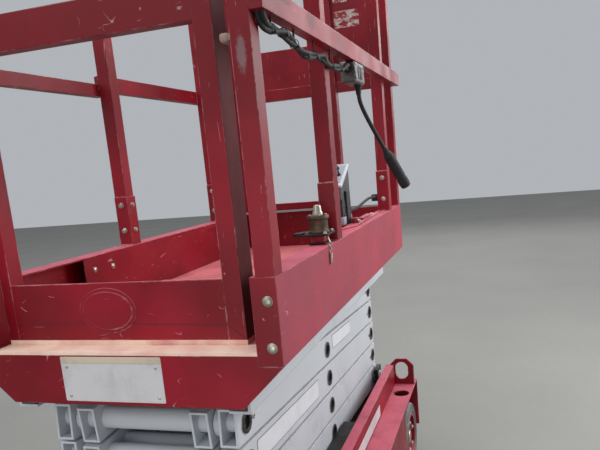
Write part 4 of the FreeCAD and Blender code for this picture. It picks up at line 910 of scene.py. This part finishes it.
beads = bmesh.new()
for side, posts in ((1, RIGHT_POSTS), (-1, LEFT_POSTS)):
    for y in posts:
        for edge in (-SOCKET_HALF, SOCKET_HALF):
            bead_across(beads, side, y + edge, TOE_TOP, 0.0028, 0.3095, 0.3495)
        bead_across(beads, side, y - HALF_TUBE, SOCKET_TOP, 0.0022)
        for edge in (-HALF_TUBE, HALF_TUBE):
            bead_across(beads, side, y + edge, RAIL_LOW, 0.0026)
            add_bead(beads, (side * 0.3502, y + edge, MID_LOW + 0.002),
                     (side * 0.3502, y + edge, MID_HIGH - 0.002), 0.0022)
    for y in END_POSTS:
        inner_y = y + (HALF_TUBE if y < 0 else -HALF_TUBE)
        bead_across(beads, side, inner_y, TOE_TOP, 0.0028)
        add_bead(beads, (side * 0.3122, y - HALF_TUBE, TOE_TOP),
                 (side * 0.3122, y + HALF_TUBE, TOE_TOP), 0.0024)
        bead_across(beads, side, inner_y, RAIL_LOW, 0.0026)
store(beads, "guardrail_beads", "platform", red_upright)

# %% [markdown]
# ## Blank plates
#
# A riveted pale plate with a beige band sits on the apron, an oval pressing on the front panel, long
# strips on the chassis rails and worn film on the rear sheet. All are blank. They could be patches of
# colour in the paint, but a thin real plate has an edge that casts a fine shadow. The front panel's two
# pressed creases are drawn as thin dark rods of painted shade.

# %% Plates
EXT_FRONT = -0.665


def add_plate(mesh, low, high, rounding):
    """A thin plate with rounded corners: only the edges along its thickness are rounded."""
    thin = min(range(3), key=lambda axis: high[axis] - low[axis])
    corners = [e for e in edges_of(add_cube_between(mesh, low, high))
               if abs(e.verts[0].co[thin] - e.verts[1].co[thin]) > 1e-7]
    round_edges(mesh, corners, rounding, 5)


def store_plates(name, body, finish, plates, both_sides=False):
    """A piece of thin plates, each given as (low, high, rounding)."""
    mesh = bmesh.new()
    for plate in plates:
        add_plate(mesh, *plate)
    if both_sides:
        twins = bmesh.ops.duplicate(mesh, geom=mesh.verts[:] + mesh.edges[:] + mesh.faces[:])["geom"]
        bmesh.ops.transform(mesh, matrix=Matrix.Scale(-1, 4, X),
                            verts=[g for g in twins if isinstance(g, bmesh.types.BMVert)])
    store(mesh, name, body, finish)


store_plates("apron_blank_plate", "platform", pale_label,
             [((-0.131, BOARD_FRONT - 0.0001, 0.757), (0.099, BOARD_FRONT + 0.002, 0.851), 0.003)])
store_plates("apron_blank_band", "platform", beige_label,
             [((-0.1295, BOARD_FRONT - 0.0006, 0.8375), (0.0975, BOARD_FRONT + 0.001, 0.8500), 0.002)])

# %% Pressings of the front panel, strips and rear film
oval = bmesh.new()
for wide, high, deep in ((0.068, 0.0485, 0.0030), (0.059, 0.0400, 0.0052)):
    before = set(oval.verts)
    bmesh.ops.create_cone(oval, cap_ends=True, segments=72, radius1=1.0, radius2=0.97, depth=1.0)
    bmesh.ops.transform(oval, matrix=Matrix.Translation((-0.038, EXT_FRONT + 0.0004, 0.9325))
                        @ Matrix.Rotation(math.pi / 2, 4, "X") @ Matrix.Diagonal((wide, high, deep, 1)),
                        verts=new_points(oval, before))
store(oval, "panel_blank_oval", "extension", red_sheet)

# The creases are thin dark rods: painted shade along the panel's folds
CREASE_Y, CREASE_RADIUS = -0.66505, 0.0008
creases = bmesh.new()
for x_from, z_from, x_to, z_to in ((-0.2680, 0.9085, 0.2235, 0.9010), (0.2250, 0.9000, 0.2600, 0.8720)):
    add_rod(creases, (x_from, CREASE_Y, z_from), (x_to, CREASE_Y, z_to), CREASE_RADIUS, sides=10)
store(creases, "panel_crease_shadow_rods", "extension", crease_shade_finish)

store_plates("rail_blank_strips", "chassis", pale_label,
             [((0.3025, -0.20, 0.306), (0.3036, 0.29, 0.346), 0.004)], both_sides=True)
store_plates("rear_blank_labels", "platform", torn_label,
             [((0.150, 0.6855, 1.675), (0.245, 0.6862, 1.735), 0.004),
              ((0.150, 0.6855, 1.765), (0.205, 0.6862, 1.800), 0.004),
              ((0.150, 0.6898, 1.560), (0.290, 0.6905, 1.660), 0.006)])

# %% [markdown]
# ## The deck latch
#
# The roll-out deck is locked by a spring drum that stands on a black plate on the toe board. The drum is
# an old brown casting with a flanged lid and a tapered cap, the block under the plate is painted red, and
# a spare pin hangs beside it on a short chain. Turned outlines make the drum in one go, where stacked
# cylinders would leave steps without rounded corners.

# %% Latch plate and drum
LATCH_AT = Vector((0.316, -0.306, 1.0265))


def store_blocks(name, body, finish, blocks, instead_of=()):
    """A piece of rounded blocks, each given as (low, high, rounding) and segments if not 2."""
    mesh = bmesh.new()
    for block in blocks:
        add_block(mesh, *block)
    store(mesh, name, body, finish, instead_of=instead_of)


store_blocks("latch_plate", "platform", dark_iron,
             [((0.297, -0.334, TOE_TOP), (0.337, -0.278, 1.005), 0.001),
              ((0.262, -0.343, 1.0215), (0.346, -0.269, LATCH_AT.z), 0.0012),
              ((0.262, -0.343, LATCH_AT.z), (0.284, -0.316, 1.0300), 0.0012)], instead_of=["deck_latch"])
store_blocks("latch_block", "platform", red_sheet,
             [((0.300, -0.331, 1.005), (0.334, -0.281, 1.0215), 0.0025)])
drum = bmesh.new()
add_turned(drum, [(0, 0), (0.0250, 0), (0.0258, 0.001), (0.0258, 0.0045), (0.0234, 0.006), (0.0228, 0.010),
                  (0.0228, 0.030), (0.0240, 0.0325), (0.0262, 0.0340), (0.0262, 0.0400), (0.0250, 0.0418),
                  (0.0125, 0.0425), (0, 0.0425)], LATCH_AT, Z, 40)
store(drum, "latch_drum", "platform", old_casting)

# %% Cap, screws, chain and spare pin
CHAIN_LINKS = 4

latch_bolt = bmesh.new()
add_turned(latch_bolt, [(0, 0.040), (0.0125, 0.040), (0.0120, 0.0470), (0.0096, 0.0520), (0.0090, 0.0620),
                        (0.0068, 0.0650), (0, 0.0655)], LATCH_AT, Z, 28)
for x, y in on_circle(4, 0.0190, 0.5):
    add_cap(latch_bolt, LATCH_AT + Vector((x, y, 0.0415)), Z, (0.0032, 0.0014), (0.0022, 0.0022), steps=14)
for y in (-0.3365, -0.2755):
    add_hex_bolt(latch_bolt, (0.3385, y, LATCH_AT.z), Z, 0.0052)
add_rod(latch_bolt, (0.340, -0.330, 1.024), (0.3535, -0.348, 1.006), 0.0016, sides=10, rounding=0.0004)
for k in range(CHAIN_LINKS):
    centre = Vector((0.3538, -0.350 - 0.001 * k, 1.004 - 0.0065 * k))
    add_ring(latch_bolt, centre, X if k % 2 else Y, 0.0030, 0.0046, 0.0008, 16)
add_rod(latch_bolt, (0.3540, -0.3545, 0.981), (0.3540, -0.3560, 0.958), 0.0033, rounding=0.0010)
add_rod(latch_bolt, (0.3540, -0.3542, 0.9835), (0.3540, -0.3545, 0.981), 0.0046, rounding=0.0006)
store(latch_bolt, "latch_fastenings", "platform", zinc)

# %% [markdown]
# ## The upper control box
#
# A dark moulded box hangs on the toe board. Its sloping lid overhangs it all round and carries a blank
# light panel with a joystick, two rocker switches and a red mushroom stop button. The wedge is a cube
# whose top corners are lowered on one side, and everything on the lid is placed by how far it lies
# across and up the slope, so that the slope's angle is written only once.

# %% Control box body
SLOPE_LOW, SLOPE_HIGH, SLOPE_RUN = 1.112, 1.178, 0.120
WEDGE_MIDDLE = Vector((0.2655, 0.080, 1.109))

console = bmesh.new()
body_points = bmesh.ops.create_cube(console, size=1.0)["verts"]
bmesh.ops.scale(console, vec=(0.054, 0.112, 0.066), verts=body_points)
bmesh.ops.translate(console, vec=WEDGE_MIDDLE, verts=body_points)
for v in body_points:
    if v.co.z > WEDGE_MIDDLE.z:
        v.co.z = SLOPE_LOW + 0.002 if v.co.y < WEDGE_MIDDLE.y else SLOPE_HIGH - 0.004
round_edges(console, console.edges[:], 0.004, 3)
store(console, "control_wedge", "platform", case_grey)

store_blocks("control_case", "platform", black_plastic,
             [((0.2385, 0.028, 1.004), (0.2940, 0.132, 1.080), 0.005, 3),
              ((0.2930, 0.036, 1.030), (0.2952, 0.124, 1.034), 0.0006),
              ((0.2930, 0.036, 1.056), (0.2952, 0.124, 1.060), 0.0006),
              ((0.2930, 0.060, 1.000), (0.3005, 0.100, 1.100), 0.0015),
              ((0.2960, 0.040, 1.0000), (0.3022, 0.120, 1.0045), 0.0012)], instead_of=["control_box"])
store_blocks("control_foot", "platform", slate_panel,
             [((0.2375, 0.027, 1.0035), (0.2950, 0.133, 1.0290), 0.004, 3)])

# %% Sloping lid and face
slope = math.atan2(SLOPE_HIGH - SLOPE_LOW, SLOPE_RUN)
up_slope = Vector((0, math.cos(slope), math.sin(slope)))
off_slope = Vector((0, -math.sin(slope), math.cos(slope)))
slope_middle = Vector((0.266, 0.080, (SLOPE_LOW + SLOPE_HIGH) / 2))


def on_slope(across, along, lift=0.0):
    """A point on the sloping top: across is to +X and along goes up the slope."""
    return slope_middle + X * across + up_slope * along + off_slope * lift


def store_on_slope(name, finish, size, along, lift, rounding):
    """A rounded block that lies on the sloping top, as a piece of its own."""
    mesh = bmesh.new()
    verts = bmesh.ops.create_cube(mesh, size=1.0)["verts"]
    bmesh.ops.scale(mesh, vec=size, verts=verts)
    round_edges(mesh, edges_of(verts), rounding, 3)
    bmesh.ops.transform(mesh, matrix=Matrix.Translation(on_slope(0, along, lift))
                        @ Matrix.Rotation(slope, 4, "X"), verts=mesh.verts)
    store(mesh, name, "platform", finish)


store_on_slope("control_lid", light_panel, (0.0590, 0.124, 0.0110), 0, -0.0005, 0.0035)
store_on_slope("control_face", slate_panel, (0.0460, 0.100, 0.0016), 0.004, 0.0055, 0.0006)

# %% Stick, switches and stop button
FACE_LIFT = 0.0060

controls = bmesh.new()
add_turned(controls, [(0, 0), (0.0135, 0), (0.0135, 0.002), (0.0115, 0.004), (0.0105, 0.0055),
                      (0.0112, 0.007), (0.0085, 0.009), (0.0080, 0.0105), (0.0086, 0.012), (0.0055, 0.015),
                      (0.0040, 0.018), (0.0040, 0.026), (0.0070, 0.029), (0.0080, 0.036), (0.0074, 0.043),
                      (0.0050, 0.047), (0, 0.048)], on_slope(-0.006, 0.030, FACE_LIFT), off_slope, 28)
for across in (-0.014, 0.012):
    low = on_slope(across, -0.006, FACE_LIFT)
    add_rod(controls, low, low + off_slope * 0.004, 0.0062, rounding=0.0008)
    add_rod(controls, low + off_slope * 0.003, low + off_slope * 0.012 + up_slope * 0.003, 0.0022,
            0.0030, 12)
store(controls, "control_stick_and_switches", "platform", black_rubber)

stop = bmesh.new()
add_turned(stop, [(0, 0), (0.0075, 0), (0.0075, 0.006), (0.0128, 0.007), (0.0135, 0.009), (0.0125, 0.0125),
                  (0.008, 0.0145), (0, 0.0150)], on_slope(-0.004, -0.034, FACE_LIFT), off_slope, 32)
store(stop, "control_stop_button", "platform", stop_red)

# %% Lead of the control box
LEAD_POINTS = [(0.270, 0.1290, 1.038), (0.270, 0.150, 1.037), (0.277, 0.190, 1.032), (0.286, 0.250, 1.034),
               (0.293, 0.330, 1.048), (0.297, 0.400, 1.055), (0.298, 0.450, 1.051), (0.298, 0.480, 1.048)]

control_lead = soft_tube("control_lead", 0.0045, [LEAD_POINTS])
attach(control_lead, "platform")
lead_sockets = bmesh.new()
add_block(lead_sockets, (0.2870, 0.4800, 1.0360), (0.3095, 0.5060, 1.0600), 0.002)
add_cap(lead_sockets, (0.298, 0.4800, 1.048), -Y, (0.0085, 0.006), (0.0062, 0.012), foot=-0.002)
add_cap(lead_sockets, (0.270, 0.1320, 1.038), Y, (0.0080, 0.004), (0.0060, 0.010), foot=-0.002)
store(lead_sockets, "control_lead_sockets", "platform", black_plastic)

# %% [markdown]
# ## Deck details
#
# A bent steel bracket with a spring knuckle lies on the toe board's top edge beside the control box, and
# nylon pads keep the extension's posts off the fixed ones. The bracket's outline is drawn once from
# above and extruded, which is how the real one is cut from plate.

# %% Bracket on the board
BRACKET_LOW, BRACKET_THICK = TOE_TOP - 0.0004, 0.0046
KNUCKLE_Y, KNUCKLE_Z = 0.082, TOE_TOP + 0.0115

bracket = bmesh.new()
outline = [(0.3030, -0.070), (0.3340, 0.017), (0.3310, 0.112), (0.3250, 0.385), (0.3010, 0.385),
           (0.3010, 0.112)]
sheet = bracket.faces.new([bracket.verts.new((x, y, BRACKET_LOW)) for x, y in outline])
raised = bmesh.ops.extrude_face_region(bracket, geom=[sheet])["geom"]
bmesh.ops.translate(bracket, vec=(0, 0, BRACKET_THICK),
                    verts=[g for g in raised if isinstance(g, bmesh.types.BMVert)])
bmesh.ops.recalc_face_normals(bracket, faces=bracket.faces)
round_edges(bracket, bracket.edges[:], 0.0012)
add_block(bracket, (0.3020, 0.160, TOE_TOP + 0.0035), (0.3230, 0.300, TOE_TOP + 0.0105), 0.0020)
store(bracket, "board_bracket", "platform", red_long)

knuckle = bmesh.new()
add_rod(knuckle, (0.3030, KNUCKLE_Y, KNUCKLE_Z), (0.3240, KNUCKLE_Y, KNUCKLE_Z), 0.0092, rounding=0.0012)
add_block(knuckle, (0.3030, 0.074, TOE_TOP), (0.3240, 0.090, TOE_TOP + 0.0120), 0.0008)
store(knuckle, "bracket_knuckle", "platform", red_long)

knuckle_pin = bmesh.new()
add_rod(knuckle_pin, (0.3015, KNUCKLE_Y, KNUCKLE_Z), (0.3258, KNUCKLE_Y, KNUCKLE_Z), 0.0042,
        rounding=0.0008)
for y in (0.135, 0.330):
    add_hex_bolt(knuckle_pin, (0.3140, y, TOE_TOP + 0.0040), Z, 0.0058)
store(knuckle_pin, "bracket_pin_and_bolts", "platform", zinc)

# %% Pads between the posts
pads = []
for z in (1.399, 1.874):
    pads += [((0.2920, -0.714, z), (0.3095, -0.684, z + 0.016), 0.005, 3),
             ((0.3060, -0.712, z + 0.003), (0.3125, -0.686, z + 0.013), 0.001),
             ((-0.3125, -0.712, z), (-0.2965, -0.684, z + 0.016), 0.005, 3)]
store_blocks("post_wear_pads", "platform", nylon, pads)

# %% [markdown]
# ## Sheet rivets and seams
#
# The apron's plate is held by four rivets, and the extension's rails are welded to its posts. Both use
# the forms made for the guardrail, so that the same work looks the same everywhere.

# %% Rivets and extension seams
rivets = bmesh.new()
for x in (-0.118, 0.086):
    for z in (0.768, 0.829):
        add_dome_bolt(rivets, (x, BOARD_FRONT, z), -Y, 0.0032)
store(rivets, "apron_rivets", "platform", zinc)

EXT_POSTS = [(0.2245, 0.2615, 0.2235, -0.604), (-0.2935, -0.2695, -0.2685, -0.6285)]
post_beads = bmesh.new()
for x_from, x_to, inner_x, rear_y in EXT_POSTS:
    for y in (-0.6615, rear_y):
        add_bead(post_beads, (x_from, y, 0.8706), (x_to, y, 0.8706), 0.0026)
    for z in (1.457, 1.522, 1.920):
        add_bead(post_beads, (inner_x, EXT_FRONT + 0.004, z), (inner_x, -0.629, z), 0.0026)
store(post_beads, "extension_beads", "extension", red_upright)

# %% [markdown]
# ## Scissor stack hardware
#
# Beside every pin a small bolt sits on the arm's outer face, and a thin ring runs round the pin. The
# pins are hollow and full of old grease. All of it rides on the arm frame that carries the pin, so each
# level gets pieces of its own, made by one loop from the stack's own measures.

# %% Bolts and rings at the pins
LOW_PIN_Z, ARM_RISE, REAR_PIN_Y, FRONT_PIN_Y = 0.330, 0.0875, 0.622, -0.615
LEVELS = 5
OUTER_FACE = 0.216
KEEPER_FROM_PIN = 0.038
KEEPER = [(0, -0.001), (0.0068, -0.001), (0.0068, 0.0014), (0.0058, 0.0022), (0.0032, 0.0022),
          (0.0030, 0.0010), (0, 0.0010)]
PIN_RING = [(0.0226, -0.0006), (0.0250, -0.0006), (0.0246, 0.0008), (0.0232, 0.0014), (0.0226, 0.0014),
            (0.0226, -0.0006)]

for level in range(LEVELS):
    keepers = bmesh.new()
    rear = Vector((0, REAR_PIN_Y, LOW_PIN_Z + level * ARM_RISE))
    front = Vector((0, FRONT_PIN_Y, LOW_PIN_Z + (level + 1) * ARM_RISE))
    along = (front - rear).normalized()
    for pin, inward in ((rear, along), (front, -along)):
        at = pin + inward * KEEPER_FROM_PIN
        for side in (1, -1):
            add_turned(keepers, KEEPER, (side * OUTER_FACE, at.y, at.z), X * side, 6)
            add_turned(keepers, PIN_RING, (side * OUTER_FACE, pin.y, pin.z), X * side, 36)
    store(keepers, "arm_keepers_%d" % (level + 1), "outer_%d" % (level + 1), zinc)

# %% Blank labels on the outer arms
ARM_LABELS = [(3, -0.575, -0.111, 0.052, 0.002), (4, 0.066, 0.305, 0.043, 0.009)]


def add_arm_label(mesh, level, y_low, y_high, height, lift, thickness):
    """A thin label on the outer face of an arm, in line with the arm."""
    rise = -ARM_RISE / (REAR_PIN_Y - FRONT_PIN_Y)
    middle_y = (y_low + y_high) / 2
    middle_z = LOW_PIN_Z + (level - 1) * ARM_RISE + (middle_y - REAR_PIN_Y) * rise + lift
    half_length = (y_high - y_low) / 2
    add_plate(mesh, (-thickness, -half_length, -height / 2), (thickness, half_length, height / 2), 0.005)
    bmesh.ops.transform(mesh, matrix=Matrix.Translation((OUTER_FACE, middle_y, middle_z))
                        @ Matrix.Rotation(math.atan(rise), 4, "X"), verts=mesh.verts)


for level, y_low, y_high, height, lift in ARM_LABELS:
    for name, finish, margin, thickness in (("edge", case_grey, 0.0, 0.0004),
                                            ("label", white_label, 0.0016, 0.0007)):
        label = bmesh.new()
        add_arm_label(label, level, y_low + margin, y_high - margin, height - 2 * margin, lift, thickness)
        store(label, "arm_%s_%d" % (name, level), "outer_%d" % level, finish)

# %% Dark bores of the hollow pins
PIN_END, BORE = 0.2190, 0.0157
GREASED_END = [(0, -0.0140), (BORE, -0.0140), (BORE, -0.0003), (0.0238, -0.0003), (0.0238, 0.0002),
               (0.0232, 0.0006), (0.0162, 0.0008), (0.0148, -0.0010), (0.0145, -0.0075), (0.0095, -0.0100),
               (0, -0.0106)]


def add_bores(mesh, y, z):
    """Grease on a hollow pin's two ends and the dark plugs inside them."""
    for side in (1, -1):
        add_turned(mesh, GREASED_END, (side * PIN_END, y, z), X * side, 28)


for level in range(LEVELS):
    centre_bores, end_bores = bmesh.new(), bmesh.new()
    add_bores(centre_bores, (REAR_PIN_Y + FRONT_PIN_Y) / 2, LOW_PIN_Z + (level + 0.5) * ARM_RISE)
    store(centre_bores, "centre_bores_%d" % (level + 1), "inner_%d" % (level + 1), grease)
    add_bores(end_bores, REAR_PIN_Y, LOW_PIN_Z + level * ARM_RISE)
    add_bores(end_bores, FRONT_PIN_Y, LOW_PIN_Z + (level + 1) * ARM_RISE)
    store(end_bores, "end_bores_%d" % (level + 1), "outer_%d" % (level + 1), grease)

# %% [markdown]
# ## Wheels
#
# Non-marking grey tyres are pressed on steel rims. A cap covers the castle nut, five wheel nuts sit round
# it, and two moulded rings run round each outer sidewall. They ride on the wheel's own body, so they turn
# with it.

# %% Wheels
FRONT_AXLE, REAR_AXLE = -0.530, 0.515
WHEEL_X, WHEEL_R, WHEEL_W = 0.338, 0.127, 0.068
WHEELS = {"front_right": (1, FRONT_AXLE), "front_left": (-1, FRONT_AXLE),
          "rear_right": (1, REAR_AXLE), "rear_left": (-1, REAR_AXLE)}
HUB_CAP = [(0, -0.030), (0.024, -0.030), (0.024, -0.010), (0.021, -0.006), (0, -0.005)]

for name, (side, y) in WHEELS.items():
    hub = Vector((side * (WHEEL_X + WHEEL_W / 2), y, WHEEL_R))
    tyre = bmesh.new()
    for radius in (0.096, 0.118):
        add_turned(tyre, [(radius - 0.0022, -0.0015), (radius + 0.0022, -0.0015), (radius + 0.0010, 0.0016),
                          (radius - 0.0010, 0.0016), (radius - 0.0022, -0.0015)], hub, X * side, 72)
    store(tyre, "sidewall_rings_" + name, "wheel_" + name, tyre_rubber)
    nuts = bmesh.new()
    add_turned(nuts, HUB_CAP, hub, X * side, 32)
    for nut_y, nut_z in on_circle(5, 0.052, 0.3):
        at = hub + Vector((-side * 0.012, nut_y, nut_z))
        add_hex(nuts, at, X * side, 0.0165, 0.0085)
        add_rod(nuts, at + X * side * 0.0080, at + X * side * 0.0115, 0.0048, rounding=0.0008)
    store(nuts, "wheel_nuts_" + name, "wheel_" + name, zinc)

# %% [markdown]
# ## Tray covers
#
# The battery and pump trays swing out behind full-height covers. Each cover has six pressed louvres and
# a paddle latch on its plate with a small round lock. The louvres are blocks sunk into the sheet, because
# cutting slots into it would change a CAD part.

# %% Covers
COVER_X = 0.3755

for side, side_name in ((1, "right"), (-1, "left")):
    x = side * COVER_X
    louvres = [((x - 0.0008, -0.120, z), (x + 0.0024, 0.130, z + 0.0055), 0.0016)
               for z in [0.150 + 0.015 * k for k in range(6)]]
    store_blocks("cover_louvres_" + side_name, "cover_" + side_name, red_sheet, louvres)
    paddle = bmesh.new()
    add_block(paddle, (x - 0.001, -0.315, 0.172), (x + 0.0012, -0.240, 0.222), 0.0009)
    x = side * (COVER_X + 0.001)
    add_block(paddle, (x - 0.001, -0.300, 0.184), (x + 0.0022, -0.256, 0.210), 0.0014)
    add_cap(paddle, (side * 0.3767, -0.248, 0.197), X * side, (0.0055, 0.0016), (0.0045, 0.0022), steps=18)
    store(paddle, "cover_latch_" + side_name, "cover_" + side_name, dark_iron)

# %% [markdown]
# ## Rear end of the chassis
#
# The rear bulkhead carries the ladder, the ground control panel, the charger's inlet, the manual lowering
# knob and the bolts that hold it. They are small, but this is the side that people use most, so they get
# the same turned and rounded forms as the upper controls.

# %% Ground control panel
PANEL_Y = 0.7008
SWITCH_Z = 0.196

store_blocks("ground_control_case", "chassis", black_plastic,
             [((0.185, 0.674, 0.168), (0.315, 0.700, 0.272), 0.005, 3)])
store_blocks("ground_control_face", "chassis", slate_panel,
             [((0.193, 0.6990, 0.176), (0.307, 0.7012, 0.264), 0.0009)])
ground_stop = bmesh.new()
add_turned(ground_stop, [(0, 0), (0.0070, 0), (0.0070, 0.004), (0.0125, 0.005), (0.0130, 0.0075),
                         (0.0115, 0.0098), (0, 0.0108)], (0.226, PANEL_Y, 0.236), Y, 30)
store(ground_stop, "ground_stop_button", "chassis", stop_red)
ground_keys = bmesh.new()
add_cap(ground_keys, (0.274, PANEL_Y, 0.236), Y, (0.0105, 0.003), (0.0085, 0.004), steps=24)
add_block(ground_keys, (0.2730, 0.7040, 0.2275), (0.2750, 0.7120, 0.2445), 0.0006)
for x in (0.222, 0.250, 0.278):
    add_rod(ground_keys, (x, 0.7005, SWITCH_Z), (x, 0.7045, SWITCH_Z), 0.0055, rounding=0.0006)
    add_rod(ground_keys, (x, 0.7035, SWITCH_Z), (x, 0.7125, SWITCH_Z + 0.003), 0.0020, 0.0027, 12)
store(ground_keys, "ground_switches", "chassis", zinc)

# %% Charger inlet, lowering knob and bolts
inlet = bmesh.new()
add_block(inlet, (-0.300, 0.674, 0.196), (-0.215, 0.690, 0.262), 0.004)
add_turned(inlet, [(0, 0), (0.0225, 0), (0.0225, 0.008), (0.0205, 0.010), (0.0185, 0.010), (0.0185, 0.003),
                   (0, 0.003)], (-0.2575, 0.689, 0.229), Y, 32)
for x in (-0.290, -0.225):
    for z in (0.204, 0.254):
        add_cap(inlet, (x, 0.6895, z), Y, (0.0032, 0.0012), (0.002, 0.0018), steps=14)
store(inlet, "charger_inlet", "chassis", black_plastic)
knob = bmesh.new()
add_rod(knob, (-0.185, 0.674, 0.150), (-0.185, 0.694, 0.150), 0.0050, sides=16)
add_turned(knob, [(0, 0), (0.0110, 0), (0.0135, 0.002), (0.0135, 0.009), (0.0110, 0.0115), (0, 0.012)],
           (-0.185, 0.692, 0.150), Y, 24)
store(knob, "lowering_knob", "chassis", stop_red)
BULKHEAD_BOLTS = [(-0.355, 0.135), (-0.355, 0.275), (0.355, 0.135), (0.355, 0.275), (-0.165, 0.275),
                  (0.165, 0.275)]
bulkhead_bolts = bmesh.new()
for x, z in BULKHEAD_BOLTS:
    add_hex_bolt(bulkhead_bolts, (x, 0.6758, z), Y, 0.008)
store(bulkhead_bolts, "bulkhead_bolts", "chassis", zinc)

# %% [markdown]
# ## Gate hardware
#
# The gate shuts with a spring latch: a plate, a round bolt and a pull knob. They ride on the gate, so
# they swing with it.

# %% Gate
gate_bits = bmesh.new()
add_block(gate_bits, (0.052, 0.6980, 1.398), (0.092, 0.7045, 1.438), 0.0015)
add_rod(gate_bits, (0.060, 0.7060, 1.418), (0.0955, 0.7060, 1.418), 0.0042, rounding=0.0008)
add_turned(gate_bits, [(0, 0), (0.0050, 0), (0.0050, 0.0015), (0.0075, 0.0025), (0.0075, 0.0065),
                       (0.0060, 0.0080), (0, 0.0080)], (0.066, 0.7040, 1.404), Y, 20)
store(gate_bits, "gate_latch", "gate", zinc)

# %% [markdown]
# ## Floor and light
#
# A plain grey floor takes the machine's shadow under an even pale sky. One strong sun would give hard
# shadows, so five broad lamps share the work: a large one overhead makes the top faces pale, a key lamp
# from the front left shapes the posts, a weak one fills the front from low down, one washes the right
# side, and one fills the rear for the views from behind. They stand far off, so that the raised
# platform isn't lit brighter than the stowed one.

# %% Stage
FLOOR_HALF = 14.0

floor_paint = Finish("floor_paint", roughness=0.75)
floor_grey = floor_paint.mix(floor_paint.noise(1.3, 5.0), rgb(120, 120, 116), rgb(136, 135, 131))
floor_paint.set(Base_Color=floor_grey, Roughness=0.7 + floor_paint.noise(30.0) * 0.2)
floor_mesh = bmesh.new()
bmesh.ops.create_grid(floor_mesh, x_segments=1, y_segments=1, size=FLOOR_HALF)
floor_data = bpy.data.meshes.new("floor")
floor_mesh.to_mesh(floor_data)
floor_mesh.free()
floor_data.materials.append(floor_paint.material)
floor = bpy.data.objects.new("floor", floor_data)
bpy.context.scene.collection.objects.link(floor)

# %% Sky and lamps
SKY_COLOUR, SKY_STRENGTH = rgb(236, 240, 246), 0.52
LIGHTS = [("overhead", (0.3, -0.2, 11.0), (0.0, 0.0, 0.9), 8.0, 760),
          ("key", (-3.2, -5.2, 6.3), (0.0, 0.0, 0.9), 4.8, 140),
          ("front_fill", (0.3, -3.3, 0.7), (0.0, -0.7, 0.75), 1.4, 17),
          ("right_wash", (2.6, 1.2, 1.9), (0.3, 0.1, 0.9), 1.8, 62),
          ("rear_fill", (0.4, 6.8, 4.4), (0.0, 0.3, 0.9), 5.2, 160)]

sky = bpy.data.worlds.new("soft_sky")
sky.use_nodes = True
bpy.context.scene.world = sky
background = sky.node_tree.nodes["Background"]
background.inputs["Color"].default_value = SKY_COLOUR
background.inputs["Strength"].default_value = SKY_STRENGTH
for name, place, aim, size, power in LIGHTS:
    lamp = bpy.data.lights.new(name, "AREA")
    lamp.energy = power
    lamp.size = size
    holder = bpy.data.objects.new(name, lamp)
    holder.matrix_world = turned_to(Vector(place) - Vector(aim), place)
    bpy.context.scene.collection.objects.link(holder)
    print("lamp", name, "of", power, "W and", size, "m")
bpy.context.scene.view_settings.view_transform = "Standard"
